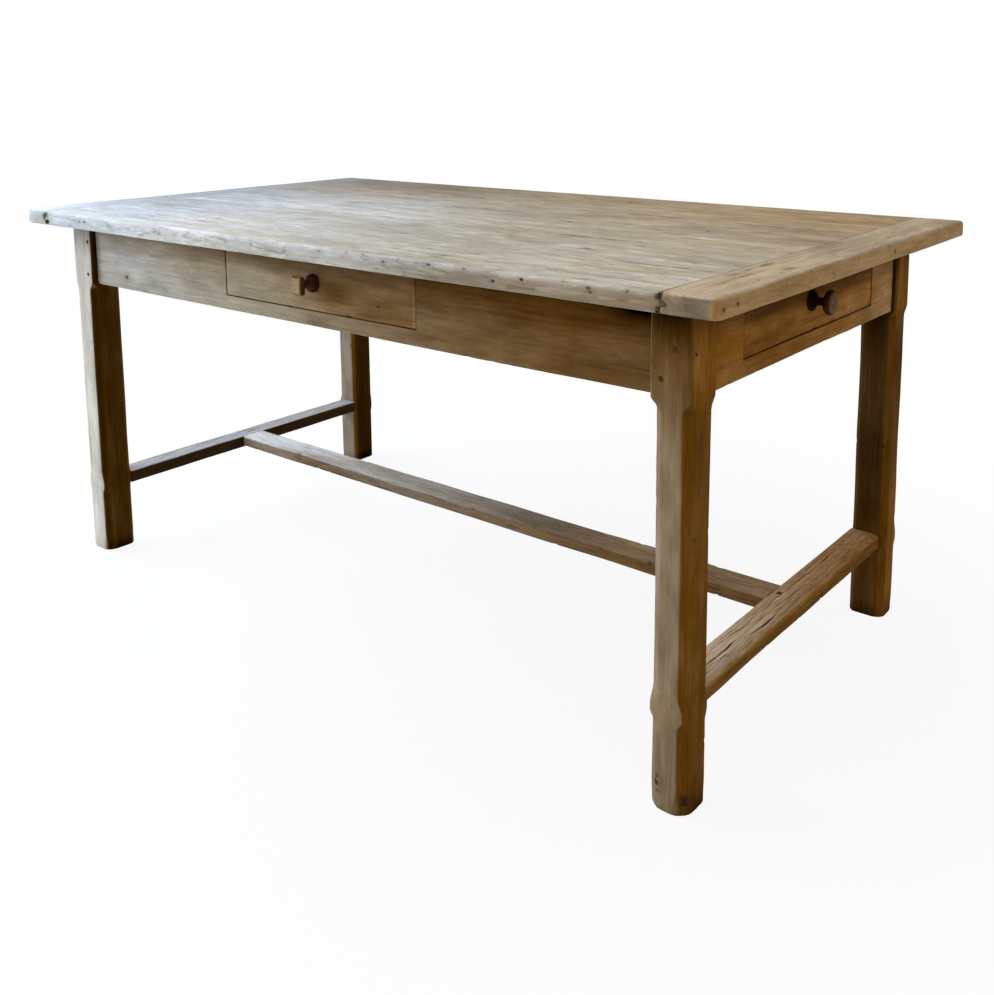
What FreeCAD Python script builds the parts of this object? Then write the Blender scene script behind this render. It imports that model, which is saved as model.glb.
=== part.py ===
import FreeCAD, Part
import math
import os

from FreeCAD import Vector

# Farmhouse table in old oak: a planked top with clamped ends on a pegged frame, with two drawers.
# X runs along the table, the long front is at -Y and Z is up. The origin is on the floor under the middle.

# Whole table
table_height = 760.0
top_length = 1660.0
top_width = 944.0
top_thickness = 28.0
end_overhang = 74.0
side_overhang = 69.0

# Top boards
plank_width_shares = (0.183, 0.190, 0.120, 0.217, 0.290)
right_end_board_width = 85.0
left_end_board_width = 96.0
plank_gap = 0.6
end_joint_gap = 0.8
tongue_thickness = 9.0
tongue_height_share = 0.5
plank_tongue_length = 8.0
end_tongue_length = 8.0
end_tenon_length = 70.0
end_tenon_margin = 8.0
tongue_clearance = 0.15
groove_spare_depth = 1.0
top_arris_radius = 8.0
top_under_arris_radius = 2.5
front_right_corner_radius = 11.0
back_right_corner_radius = 9.0
front_left_corner_radius = 30.0
back_left_corner_radius = 16.0

# Legs
leg_width = 66.0
leg_inner_chamfer = 7.0
right_leg_end_side_chamfer = 11.5
right_leg_outer_chamfer = 15.0
right_leg_long_side_chamfer = 18.5
left_leg_end_side_chamfer = 15.5
left_leg_outer_chamfer = 7.5
front_left_leg_long_side_chamfer = 12.0
back_left_leg_long_side_chamfer = 6.0
upper_block_bottom = 603.0
upper_tongue_run = 20.0
tongue_overshoot_share = 0.1
lower_block_top = 155.0
lower_block_bottom = 146.0
lower_block_arris_share = 0.52
lower_block_upper_run = 27.0
lower_block_lower_run = 16.0
foot_round = 9.0

# Aprons
apron_height = 133.0
apron_thickness = 25.0
long_apron_setback = 14.0
end_apron_setback = 8.0
apron_arris_radius = 2.0
apron_tenon_thickness = 10.0
apron_tenon_shoulder = 10.0
apron_tenon_haunch = 22.0
long_apron_tenon_length = 47.0
end_apron_tenon_length = 30.0
mortise_spare_depth = 1.5

# Stretchers
stretcher_top = 169.0
side_stretcher_width = 56.0
side_stretcher_thickness = 27.0
side_stretcher_wear_radius = 13.0
side_tenon_thickness = 16.0
side_tenon_shoulder = 4.0
side_tenon_length = 42.0
centre_stretcher_width = 64.0
centre_stretcher_thickness = 24.0
centre_stretcher_arris = 5.0
centre_tenon_width = 44.0
centre_tenon_thickness = 11.0
centre_tenon_length = 38.0
stretcher_arris_radius = 2.5

# Pegs
peg_diameter = 9.0
peg_clearance = 0.1
right_leg_low_peg_inset = 17.0
right_leg_low_peg_rise = 28.0
right_leg_high_peg_inset = 38.0
right_leg_high_peg_rise = 71.0
left_leg_low_peg_inset = 15.0
left_leg_low_peg_rise = 22.0
left_leg_high_peg_inset = 11.0
left_leg_high_peg_rise = 92.0
leg_peg_length = 34.0
centre_stretcher_peg_inset = 11.0
end_board_peg_diameter = 8.0
end_board_peg_inset = 61.0
end_board_peg_shares = ((0.86,), (0.25, 0.88), (0.5,), (0.5,), (0.3, 0.76))

# Drawer openings, bodies and running gaps
opening_rail_height = 28.0
front_opening_width = 492.0
end_opening_front_margin = 92.0
end_opening_back_margin = 100.0
drawer_side_gap = 1.5
drawer_front_bottom_gap = 1.5
drawer_front_top_gap = 2.0
running_gap = 0.3
guide_gap = 0.7
front_drawer_back_room = 253.0
end_drawer_back_room = 40.8
drawer_front_thickness = 22.0
drawer_front_arris = 1.2
drawer_side_height = 88.0
drawer_side_thickness = 12.0
drawer_back_thickness = 12.0
drawer_back_drop = 6.0
drawer_bottom_thickness = 7.0
drawer_bottom_rise = 8.0
drawer_groove_depth = 5.0
dovetail_length = 14.0
dovetail_half_width = 9.0
dovetail_flare = 2.2
dovetail_place_shares = (0.17, 0.5, 0.83)
nail_diameter = 2.6
nail_length = 28.0
nail_place_shares = (-0.7, 0.0, 0.7)

# Runners, guides and stops
runner_ledge = 18.0
runner_height = 20.0
runner_stub_length = 8.0
runner_stub_shoulder = 4.0
guide_width = 22.0
guide_height = 40.0
stop_length = 20.0
stop_height = 14.0
stop_gap = 0.5

# Knobs
knob_tenon_diameter = 12.0
front_knob_rise_share = 0.485
front_knob_offset = 2.6
front_rose_diameter = 34.0
front_rose_thickness = 11.0
front_neck_diameter = 15.0
front_neck_length = 19.5
front_head_width = 26.0
front_head_height = 32.5
front_head_thickness = 11.5
front_head_bevel = 2.2
front_head_side_bevel = 2.0
end_knob_rise_share = 0.48
end_knob_offset = -15.0
end_rose_diameter = 33.0
end_rose_thickness = 6.0
end_neck_diameter = 13.0
end_neck_length = 16.5
end_head_diameter = 40.0
end_head_rim = 10.0
end_head_dome = 8.0

# Buttons that hold the top down, and their screws
button_width = 36.0
button_reach = 38.0
button_height = 18.0
button_tongue = 8.0
button_tongue_height = 9.0
button_gap = 0.4
long_button_shares = (0.54, 0.87)
end_button_share = 0.92
screw_diameter = 4.0
screw_head_diameter = 8.0
screw_head_height = 3.0
screw_bite = 14.0

# Spare length by which every cutting tool runs past the piece that it cuts
overrun = 10.0

# Places that several pieces share
half_length = top_length / 2
half_width = top_width / 2
top_underside = table_height - top_thickness
leg_outer_x = half_length - end_overhang
leg_outer_y = half_width - side_overhang
leg_inner_x = leg_outer_x - leg_width
leg_inner_y = leg_outer_y - leg_width
apron_bottom = top_underside - apron_height
long_apron_outer_y = leg_outer_y - long_apron_setback
long_apron_inner_y = long_apron_outer_y - apron_thickness
end_apron_outer_x = leg_outer_x - end_apron_setback
end_apron_inner_x = end_apron_outer_x - apron_thickness
opening_bottom = apron_bottom + opening_rail_height
right_joint_x = half_length - right_end_board_width
left_joint_x = left_end_board_width - half_length
tongue_low = top_underside + (top_thickness - tongue_thickness) * tongue_height_share
tongue_high = tongue_low + tongue_thickness
side_stretcher_inner_x = leg_inner_x
side_stretcher_outer_x = side_stretcher_inner_x + side_stretcher_width
side_stretcher_bottom = stretcher_top - side_stretcher_thickness
centre_stretcher_bottom = stretcher_top - centre_stretcher_thickness
end_opening_width = 2 * leg_inner_y - end_opening_front_margin - end_opening_back_margin
end_drawer_middle_y = (end_opening_front_margin - end_opening_back_margin) / 2
drawer_room_y = long_apron_outer_y + long_apron_inner_y
drawer_room_x = end_apron_outer_x - front_opening_width / 2 + drawer_side_gap - guide_gap - guide_width
front_drawer_depth = drawer_room_y - front_drawer_back_room
end_drawer_depth = drawer_room_x - end_drawer_back_room


def block(x_span, y_span, z_span):
    """A rectangular solid between the low and high values of each span."""
    corner = Vector(x_span[0], y_span[0], z_span[0])
    return Part.makeBox(x_span[1] - x_span[0], y_span[1] - y_span[0], z_span[1] - z_span[0], corner)


def rod(start, direction, diameter, length):
    return Part.makeCylinder(diameter / 2, length, start, direction)


def around(middle, width):
    """The span of the given width about a middle."""
    return (middle - width / 2, middle + width / 2)


def grown(span, margin):
    return (span[0] - margin, span[1] + margin)


def flip_x(shape):
    return shape.mirror(Vector(0, 0, 0), Vector(1, 0, 0))


def flip_y(shape):
    return shape.mirror(Vector(0, 0, 0), Vector(0, 1, 0))


def with_flip(shapes, flip):
    """Shapes together with their mirror images."""
    return shapes + [flip(shape) for shape in shapes]


def turned(shape, degrees, place):
    """A copy turned about the upright axis through the origin and then carried to a place."""
    copy = shape.copy()
    copy.rotate(Vector(0, 0, 0), Vector(0, 0, 1), degrees)
    copy.translate(place)
    return copy


def edges_at(shape, test):
    """The edges whose middle and direction pass a test."""
    chosen = []
    for edge in shape.Edges:
        middle = edge.valueAt((edge.FirstParameter + edge.LastParameter) / 2)
        along = edge.tangentAt((edge.FirstParameter + edge.LastParameter) / 2)
        if test(middle, along):
            chosen.append(edge)
    return chosen


def same(first, second):
    """Whether two places are equal within rounding of the arithmetic."""
    return math.isclose(first, second, rel_tol=1e-7, abs_tol=table_height * 1e-8)


# Top: planks tongued and grooved to each other, tenoned into a cross board at each end

def plank_spans():
    """The width of each plank across the table, front to back, without the gaps between them."""
    low = -half_width
    spans = []
    for share in plank_width_shares:
        spans.append((low, low + share * top_width))
        low = spans[-1][1]
    spans[-1] = (spans[-1][0], half_width)
    return spans


def plank_tenon_span(span):
    return (span[0] + end_tenon_margin, span[1] - end_tenon_margin)


def plank(number):
    """One plank with tongues at both ends, a long tenon at each, and an edge tongue or groove."""
    spans = plank_spans()
    low, high = spans[number]
    is_first = number == 0
    is_last = number == len(spans) - 1
    body_low = low if is_first else low + plank_gap / 2
    body_high = high if is_last else high - plank_gap / 2
    board = block((left_joint_x + end_joint_gap, right_joint_x - end_joint_gap), (body_low, body_high),
                  (top_underside, table_height))
    if is_first or is_last:
        outer_y = body_low if is_first else body_high
        worn = edges_at(board, lambda at, along: same(at.y, outer_y) and same(at.z, table_height))
        board = board.makeFillet(top_arris_radius, worn)
        under = edges_at(board, lambda at, along: same(at.y, outer_y) and same(at.z, top_underside))
        board = board.makeFillet(top_under_arris_radius, under)
    tongue_z = (tongue_low, tongue_high)
    end_tongues = block((left_joint_x - end_tongue_length, right_joint_x + end_tongue_length),
                        (body_low, body_high), tongue_z)
    end_tenons = block((left_joint_x - end_tenon_length, right_joint_x + end_tenon_length),
                       plank_tenon_span((low, high)), tongue_z)
    board = board.fuse([end_tongues, end_tenons])
    if not is_last:
        edge_tongue = block((left_joint_x + end_joint_gap, right_joint_x - end_joint_gap),
                            (body_high - overrun, body_high + plank_gap + plank_tongue_length), tongue_z)
        board = board.fuse(edge_tongue)
    if not is_first:
        groove_depth = plank_tongue_length + groove_spare_depth
        groove = block((left_joint_x - end_tenon_length - overrun, right_joint_x + end_tenon_length + overrun),
                       (body_low - overrun, body_low + groove_depth), grown(tongue_z, tongue_clearance))
        board = board.cut(groove)
    board = board.cut(end_board_peg_holes() + screw_holes())
    return board.removeSplitter()


def end_board(joint_x, outer_x, front_radius, back_radius):
    """The cross board at one end, with a groove for the tongues and a mortise for each long tenon."""
    outward = 1 if outer_x > joint_x else -1
    board = block((min(joint_x, outer_x), max(joint_x, outer_x)), (-half_width, half_width),
                  (top_underside, table_height))
    for corner_y, radius in ((-half_width, front_radius), (half_width, back_radius)):
        upright = edges_at(board, lambda at, along: same(at.x, outer_x) and same(at.y, corner_y))
        board = board.makeFillet(radius, upright)
    worn = edges_at(board, lambda at, along: same(at.z, table_height) and not same(at.x, joint_x))
    board = board.makeFillet(top_arris_radius, worn)
    under = edges_at(board, lambda at, along: same(at.z, top_underside) and not same(at.x, joint_x))
    board = board.makeFillet(top_under_arris_radius, under)
    tongue_z = grown((tongue_low, tongue_high), tongue_clearance)
    groove_end = joint_x + outward * (end_tongue_length + groove_spare_depth)
    mouth = joint_x - outward * overrun
    groove_x = (min(mouth, groove_end), max(mouth, groove_end))
    cuts = [block(groove_x, (-half_width - overrun, half_width + overrun), tongue_z)]
    mortise_end = joint_x + outward * (end_tenon_length + groove_spare_depth)
    mortise_x = (min(mouth, mortise_end), max(mouth, mortise_end))
    for span in plank_spans():
        cuts.append(block(mortise_x, grown(plank_tenon_span(span), groove_spare_depth), tongue_z))
    return board.cut(cuts + end_board_peg_holes()).removeSplitter()


def end_board_peg_places():
    """Where upright pegs go through the end boards and the long tenons of the planks."""
    places = []
    for span, shares in zip(plank_spans(), end_board_peg_shares):
        for share in shares:
            across = span[0] + share * (span[1] - span[0])
            places.append(Vector(right_joint_x + end_board_peg_inset, across, 0))
            places.append(Vector(left_joint_x - end_board_peg_inset, across, 0))
    return places


def end_board_pegs():
    up = Vector(0, 0, 1)
    foot = Vector(0, 0, top_underside)
    return [rod(place + foot, up, end_board_peg_diameter, top_thickness) for place in end_board_peg_places()]


def end_board_peg_holes():
    up = Vector(0, 0, 1)
    foot = Vector(0, 0, top_underside - overrun)
    diameter = end_board_peg_diameter + 2 * peg_clearance
    length = top_thickness + 2 * overrun
    return [rod(place + foot, up, diameter, length) for place in end_board_peg_places()]


# Legs: square posts whose corners are chamfered between blocks, each chamfer ending in a lamb's tongue

def ogee(start, end):
    """Two equal arcs that leave the start and reach the end along the post, bending one way and back."""
    across = (end.x - start.x) / 2
    along = (end.z - start.z) / 2
    middle = Vector(start.x + across, 0, start.z + along)
    radius = (across * across + along * along) / (2 * abs(across))
    half_turn = math.atan2(abs(across), abs(along))
    sag = math.copysign(radius * (1 - math.cos(half_turn)), across)
    rise = math.copysign(radius * math.sin(half_turn), along)
    first = Part.Arc(start, Vector(start.x + sag, 0, start.z + rise), middle)
    second = Part.Arc(middle, Vector(end.x - sag, 0, end.z - rise), end)
    return [first.toShape(), second.toShape()]


def chamfer_tool(width):
    """What is taken off a leg's corner that stands on the Z axis, cutting towards +X.

    The chamfer runs from the floor, shrinks in a soft bulge over the lower block, and dies out in a
    lamb's tongue under the upper block."""
    full = width / math.sqrt(2)
    slight = full * lower_block_arris_share
    past = -full * tongue_overshoot_share
    outside = -full - overrun
    foot_end = Vector(full, 0, lower_block_bottom - lower_block_lower_run)
    bulge_low = Vector(slight, 0, lower_block_bottom)
    bulge_high = Vector(slight, 0, lower_block_top)
    long_start = Vector(full, 0, lower_block_top + lower_block_upper_run)
    long_end = Vector(full, 0, upper_block_bottom - upper_tongue_run)
    tip = Vector(past, 0, upper_block_bottom)
    edges = [Part.makeLine(Vector(full, 0, -overrun), foot_end)]
    edges += ogee(foot_end, bulge_low)
    edges.append(Part.makeLine(bulge_low, bulge_high))
    edges += ogee(bulge_high, long_start)
    edges.append(Part.makeLine(long_start, long_end))
    edges += ogee(long_end, tip)
    rest = Part.makePolygon([tip, Vector(outside, 0, tip.z), Vector(outside, 0, -overrun), Vector(full, 0, -overrun)])
    face = Part.Face(Part.Wire(edges + rest.Edges))
    face.translate(Vector(0, -leg_width / 2, 0))
    return face.extrude(Vector(0, leg_width, 0))


def leg_chamfers(end_side, outer, long_side):
    """The chamfers on all four corners of the leg at the +X +Y corner, no two alike.

    From the corner under the table round by the end side and the outermost corner to the long side."""
    middle_x = (leg_inner_x + leg_outer_x) / 2
    middle_y = (leg_inner_y + leg_outer_y) / 2
    reach = leg_width / math.sqrt(2)
    tools = []
    for turn, width in enumerate((leg_inner_chamfer, end_side, outer, long_side)):
        angle = 45 + 90 * turn
        corner_x = middle_x - reach * math.cos(math.radians(angle))
        corner_y = middle_y - reach * math.sin(math.radians(angle))
        tools.append(turned(chamfer_tool(width), angle, Vector(corner_x, corner_y, 0)))
    return tools


def leg(pegs, end_side_chamfer, outer_chamfer, long_side_chamfer):
    """The leg at the +X +Y corner, with mortises for both aprons and the stretcher, and its peg holes."""
    post = block((leg_inner_x, leg_outer_x), (leg_inner_y, leg_outer_y), (0, top_underside))
    bottom = edges_at(post, lambda at, along: same(at.z, 0))
    post = post.makeFillet(foot_round, bottom)
    post = post.cut(leg_chamfers(end_side_chamfer, outer_chamfer, long_side_chamfer))
    mortises = [long_apron_tenon(mortise_spare_depth), end_apron_tenon(mortise_spare_depth),
                side_stretcher_tenon(mortise_spare_depth)]
    return post.cut(mortises + pegs).removeSplitter()


# Aprons: rails tenoned into the legs, two of them cut away from the top for a drawer

def apron_tenon_z():
    return (apron_bottom + apron_tenon_shoulder, top_underside - apron_tenon_haunch)


def long_apron_tenon(spare):
    middle_y = (long_apron_outer_y + long_apron_inner_y) / 2
    return block((leg_inner_x - overrun, leg_inner_x + long_apron_tenon_length + spare),
                 around(middle_y, apron_tenon_thickness), apron_tenon_z())


def end_apron_tenon(spare):
    middle_x = (end_apron_outer_x + end_apron_inner_x) / 2
    return block(around(middle_x, apron_tenon_thickness),
                 (leg_inner_y - overrun, leg_inner_y + end_apron_tenon_length + spare), apron_tenon_z())


def leg_pegs(places, clearance):
    """Pegs driven from the long side through the apron's tenon in the +X +Y leg, staggered so as not to split it."""
    pegs = []
    for inset, rise in places:
        start = Vector(leg_inner_x + inset, leg_outer_y, apron_bottom + rise)
        pegs.append(rod(start, Vector(0, -1, 0), peg_diameter + 2 * clearance, leg_peg_length + clearance))
    return pegs


def right_leg_pegs(clearance):
    return leg_pegs(((right_leg_low_peg_inset, right_leg_low_peg_rise),
                     (right_leg_high_peg_inset, right_leg_high_peg_rise)), clearance)


def left_leg_pegs(clearance):
    """The left legs' pegs, as they lie before the leg is mirrored to the left."""
    return leg_pegs(((left_leg_low_peg_inset, left_leg_low_peg_rise),
                     (left_leg_high_peg_inset, left_leg_high_peg_rise)), clearance)


def long_apron():
    """The plain rail between the legs of the back, with slots for the buttons in its inner face."""
    rail = block((-leg_inner_x, leg_inner_x), (long_apron_inner_y, long_apron_outer_y),
                 (apron_bottom, top_underside))
    low_edges = edges_at(rail, lambda at, along: same(at.z, apron_bottom) and same(at.x, 0))
    rail = rail.makeFillet(apron_arris_radius, low_edges)
    rail = rail.fuse(with_flip([long_apron_tenon(0)], flip_x))
    rail = rail.cut(right_leg_pegs(peg_clearance) + [flip_x(peg) for peg in left_leg_pegs(peg_clearance)])
    slots = [turned(button_slot(), 180, Vector(x, long_apron_inner_y, 0)) for x in long_button_places()]
    return rail.cut(slots)


def end_apron():
    """The plain rail between two legs of one end, at +X."""
    rail = block((end_apron_inner_x, end_apron_outer_x), (-leg_inner_y, leg_inner_y),
                 (apron_bottom, top_underside))
    low_edges = edges_at(rail, lambda at, along: same(at.z, apron_bottom) and same(at.y, 0))
    rail = rail.makeFillet(apron_arris_radius, low_edges)
    rail = rail.fuse(with_flip([end_apron_tenon(0)], flip_y))
    slots = [turned(button_slot(), 90, Vector(end_apron_inner_x, y, 0)) for y in end_button_places()]
    return rail.cut(slots)


def drawer_opening(width):
    """The part of an apron that its drawer takes, in the drawer's own frame."""
    return block(around(0, width), (-overrun, apron_thickness + overrun), (opening_bottom, top_underside + overrun))


def front_apron():
    rail = flip_y(long_apron()).cut(at_front(drawer_opening(front_opening_width)))
    return rail.cut([at_front(runner) for runner in front_runners()]).removeSplitter()


def back_apron():
    return long_apron().cut([at_front(runner) for runner in front_runners()]).removeSplitter()


def right_apron():
    rail = end_apron().cut(at_right(drawer_opening(end_opening_width)))
    return rail.cut([at_right(runner) for runner in end_runners()]).removeSplitter()


def left_apron():
    return flip_x(end_apron()).removeSplitter()


# Stretchers: flat rails in an H near the floor, their tops level with each other

def side_stretcher_tenon(spare):
    middle_x = (side_stretcher_inner_x + side_stretcher_outer_x) / 2
    return block(around(middle_x, side_tenon_thickness),
                 (leg_inner_y - overrun, leg_inner_y + side_tenon_length + spare),
                 (side_stretcher_bottom + side_tenon_shoulder, stretcher_top - side_tenon_shoulder))


def centre_tenon(spare):
    middle_z = stretcher_top - centre_stretcher_thickness / 2
    return block((leg_inner_x - overrun, side_stretcher_inner_x + centre_tenon_length + spare),
                 around(0, centre_tenon_width), around(middle_z, centre_tenon_thickness))


def centre_stretcher_peg(clearance):
    start = Vector(side_stretcher_inner_x + centre_stretcher_peg_inset, 0, side_stretcher_bottom)
    return rod(start, Vector(0, 0, 1), peg_diameter + 2 * clearance, side_stretcher_thickness + clearance)


def side_stretcher():
    """The rail at +X, its outer top edge worn round by feet."""
    rail = block((side_stretcher_inner_x, side_stretcher_outer_x), (-leg_inner_y, leg_inner_y),
                 (side_stretcher_bottom, stretcher_top))
    worn = edges_at(rail, lambda at, along: same(at.x, side_stretcher_outer_x) and same(at.z, stretcher_top))
    rail = rail.makeFillet(side_stretcher_wear_radius, worn)
    low_edges = edges_at(rail, lambda at, along: same(at.z, side_stretcher_bottom) and same(at.y, 0))
    rail = rail.makeFillet(stretcher_arris_radius, low_edges)
    rail = rail.fuse(with_flip([side_stretcher_tenon(0)], flip_y))
    return rail.cut([centre_tenon(mortise_spare_depth), centre_stretcher_peg(peg_clearance)]).removeSplitter()


def centre_stretcher():
    rail = block((-side_stretcher_inner_x, side_stretcher_inner_x), around(0, centre_stretcher_width),
                 (centre_stretcher_bottom, stretcher_top))
    top_edges = edges_at(rail, lambda at, along: same(at.x, 0) and same(at.z, stretcher_top))
    rail = rail.makeFillet(centre_stretcher_arris, top_edges)
    low_edges = edges_at(rail, lambda at, along: same(at.x, 0) and same(at.z, centre_stretcher_bottom))
    rail = rail.makeFillet(stretcher_arris_radius, low_edges)
    rail = rail.fuse(with_flip([centre_tenon(0)], flip_x))
    return rail.cut(with_flip([centre_stretcher_peg(peg_clearance)], flip_x)).removeSplitter()


# Drawers, in a frame of their own: X across, Y into the table from the apron's face, Z from the floor

def at_front(shape):
    return turned(shape, 0, Vector(0, -long_apron_outer_y, 0))


def at_right(shape):
    return turned(shape, 90, Vector(end_apron_outer_x, end_drawer_middle_y, 0))


def side_z():
    low = opening_bottom + running_gap
    return (low, low + drawer_side_height)


def drawer_bottom_z():
    low = side_z()[0] + drawer_bottom_rise
    return (low, low + drawer_bottom_thickness)


def drawer_back_z():
    return (drawer_bottom_z()[1], side_z()[1] - drawer_back_drop)


def tails(x_span, root_y, tip_y, z_span):
    """Dovetails on the end of a board, wider at the tip than at the root."""
    prisms = []
    for share in dovetail_place_shares:
        middle = z_span[0] + share * (z_span[1] - z_span[0])
        root = dovetail_half_width
        tip = dovetail_half_width + dovetail_flare
        corners = [Vector(x_span[0], root_y, middle - root), Vector(x_span[0], tip_y, middle - tip),
                   Vector(x_span[0], tip_y, middle + tip), Vector(x_span[0], root_y, middle + root)]
        outline = Part.makePolygon(corners + corners[:1])
        prisms.append(Part.Face(outline).extrude(Vector(x_span[1] - x_span[0], 0, 0)))
    return prisms


def drawer_bottom(half, depth):
    inner = half - drawer_side_thickness + drawer_groove_depth
    return block((-inner, inner), (drawer_front_thickness - drawer_groove_depth, depth), drawer_bottom_z())


def drawer_nails(half, depth, clearance):
    """Nails driven up through the bottom board into the back."""
    nails = []
    for share in nail_place_shares:
        start = Vector(share * half, depth - drawer_back_thickness / 2, drawer_bottom_z()[0])
        nails.append(rod(start, Vector(0, 0, 1), nail_diameter + 2 * clearance, nail_length + clearance))
    return nails


def drawer_side(half, depth):
    """The board on the -X side: lapped dovetails into the front, through dovetails round the back."""
    x_span = (-half, -half + drawer_side_thickness)
    back_y = depth - drawer_back_thickness
    back_z = drawer_back_z()
    z_span = side_z()
    board = block(x_span, (drawer_front_thickness, depth), z_span)
    back_corner = block(x_span, (back_y, depth), back_z)
    front_tails = tails(x_span, drawer_front_thickness, drawer_front_thickness - dovetail_length, z_span)
    board = board.cut(back_corner).fuse(front_tails + tails(x_span, back_y, depth, back_z))
    return board.cut(drawer_bottom(half, depth)).removeSplitter()


def drawer_back(half, depth):
    back_y = depth - drawer_back_thickness
    board = block((-half, half), (back_y, depth), drawer_back_z())
    left_tails = tails((-half, -half + drawer_side_thickness), back_y, depth, drawer_back_z())
    board = board.cut(with_flip(left_tails, flip_x))
    return board.cut(drawer_nails(half, depth, peg_clearance)).removeSplitter()


def knob_height(rise_share):
    """Where a knob sits between the opening's bottom and the underside of the top."""
    return opening_bottom + rise_share * (top_underside - opening_bottom)


def drawer_front(half, depth, rise_share, knob_offset):
    board = block((-half, half), (0, drawer_front_thickness),
                  (opening_bottom + drawer_front_bottom_gap, top_underside - drawer_front_top_gap))
    face_edges = edges_at(board, lambda at, along: same(at.y, 0))
    board = board.makeFillet(drawer_front_arris, face_edges)
    x_span = (-half, -half + drawer_side_thickness)
    left_tails = tails(x_span, drawer_front_thickness, drawer_front_thickness - dovetail_length, side_z())
    board = board.cut(with_flip(left_tails, flip_x))
    socket = rod(Vector(knob_offset, -overrun, knob_height(rise_share)), Vector(0, 1, 0),
                 knob_tenon_diameter + 2 * peg_clearance, drawer_front_thickness + 2 * overrun)
    return board.cut([drawer_bottom(half, depth), socket]).removeSplitter()


def drawer(prefix, opening_width, depth, rise_share, knob_offset):
    """All the boards and nails of one drawer by node name, in the drawer's own frame."""
    half = opening_width / 2 - drawer_side_gap
    side = drawer_side(half, depth)
    bottom = drawer_bottom(half, depth).cut(drawer_nails(half, depth, peg_clearance))
    return {
        prefix + "_drawer_front": [drawer_front(half, depth, rise_share, knob_offset)],
        prefix + "_drawer_left_side": [side],
        prefix + "_drawer_right_side": [flip_x(side)],
        prefix + "_drawer_back": [drawer_back(half, depth)],
        prefix + "_drawer_bottom": [bottom],
        prefix + "_drawer_nails": drawer_nails(half, depth, 0),
    }


def turning(edges, place):
    """A solid turned from a half outline, where X is the way into the drawer and Z is the radius."""
    solid = Part.Face(Part.Wire(edges)).revolve(Vector(0, 0, 0), Vector(1, 0, 0), 360)
    return turned(solid, 90, place)


def knob_stem(rose_diameter, rose_thickness, neck_diameter, head_start, place):
    """The tenon through the drawer front, the rose against its face and the neck as far as the head."""
    rose = rose_diameter / 2
    neck = neck_diameter / 2
    tenon = knob_tenon_diameter / 2
    rim = Vector(-rose_thickness / 2, 0, rose)
    throat = Vector(-rose_thickness, 0, neck)
    hollow = Vector((rim.x + 2 * throat.x) / 3, 0, (rim.z + throat.z) / 2)
    inner = Part.makePolygon([Vector(-head_start, 0, 0), Vector(drawer_front_thickness, 0, 0),
                              Vector(drawer_front_thickness, 0, tenon), Vector(0, 0, tenon), Vector(0, 0, rose), rim])
    outer = Part.makePolygon([throat, Vector(-head_start, 0, neck), Vector(-head_start, 0, 0)])
    scoop = Part.Arc(rim, hollow, throat).toShape()
    return turning(inner.Edges + [scoop] + outer.Edges, place)


def front_knob():
    """A turned rose and neck with a head carved square, its front edges and corners bevelled."""
    place = Vector(front_knob_offset, 0, knob_height(front_knob_rise_share))
    head_start = front_rose_thickness + front_neck_length
    head_end = head_start + front_head_thickness
    stem = knob_stem(front_rose_diameter, front_rose_thickness, front_neck_diameter,
                     head_start + front_head_bevel, place)
    head = block(around(place.x, front_head_width), (-head_end, -head_start), around(place.z, front_head_height))
    corners = edges_at(head, lambda at, along: same(abs(along.y), 1))
    head = head.makeChamfer(front_head_side_bevel, corners)
    face_edges = edges_at(head, lambda at, along: same(at.y, -head_end))
    head = head.makeChamfer(front_head_bevel, face_edges)
    return stem.fuse(head).removeSplitter()


def end_knob():
    """A turned mushroom knob on a small rose."""
    place = Vector(end_knob_offset, 0, knob_height(end_knob_rise_share))
    neck = end_neck_diameter / 2
    head = end_head_diameter / 2
    rim_start = end_rose_thickness + end_neck_length
    rim_end = rim_start + end_head_rim
    crown = rim_end + end_head_dome
    stem = knob_stem(end_rose_diameter, end_rose_thickness, end_neck_diameter, rim_start + end_head_rim / 2, place)
    radius = (head * head + end_head_dome * end_head_dome) / (2 * end_head_dome)
    dome_turn = math.asin(head / radius) / 2
    on_dome = Vector(radius - crown - radius * math.cos(dome_turn), 0, radius * math.sin(dome_turn))
    under_bulge = Vector(-(rim_start + end_head_rim / 3), 0, (neck + 2 * head) / 3)
    under = Part.Arc(Vector(-rim_start, 0, neck), under_bulge, Vector(-rim_end, 0, head)).toShape()
    over = Part.Arc(Vector(-rim_end, 0, head), on_dome, Vector(-crown, 0, 0)).toShape()
    axis_line = Part.makeLine(Vector(-crown, 0, 0), Vector(-rim_start, 0, 0))
    closing = Part.makeLine(Vector(-rim_start, 0, 0), Vector(-rim_start, 0, neck))
    return stem.fuse(turning([under, over, axis_line, closing], place)).removeSplitter()


# Runners with a guide strip on each, and stops behind the closed drawers

def guide_face(opening_width):
    return opening_width / 2 - drawer_side_gap + guide_gap


def runner(opening_width, far_y):
    """The bearer on the -X side of a drawer, with a stub tenon let into what carries each end."""
    inner = -guide_face(opening_width) + runner_ledge
    outer = -guide_face(opening_width) - guide_width
    top = opening_bottom
    bar = block((outer, inner), (apron_thickness, far_y), (top - runner_height, top))
    stub = block((outer + runner_stub_shoulder, inner - runner_stub_shoulder),
                 (apron_thickness - runner_stub_length, far_y + runner_stub_length),
                 (top - runner_height + runner_stub_shoulder, top - runner_stub_shoulder))
    return bar.fuse(stub).removeSplitter()


def guide(opening_width, far_y):
    face = -guide_face(opening_width)
    return block((face - guide_width, face), (apron_thickness, far_y), (opening_bottom, opening_bottom + guide_height))


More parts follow.
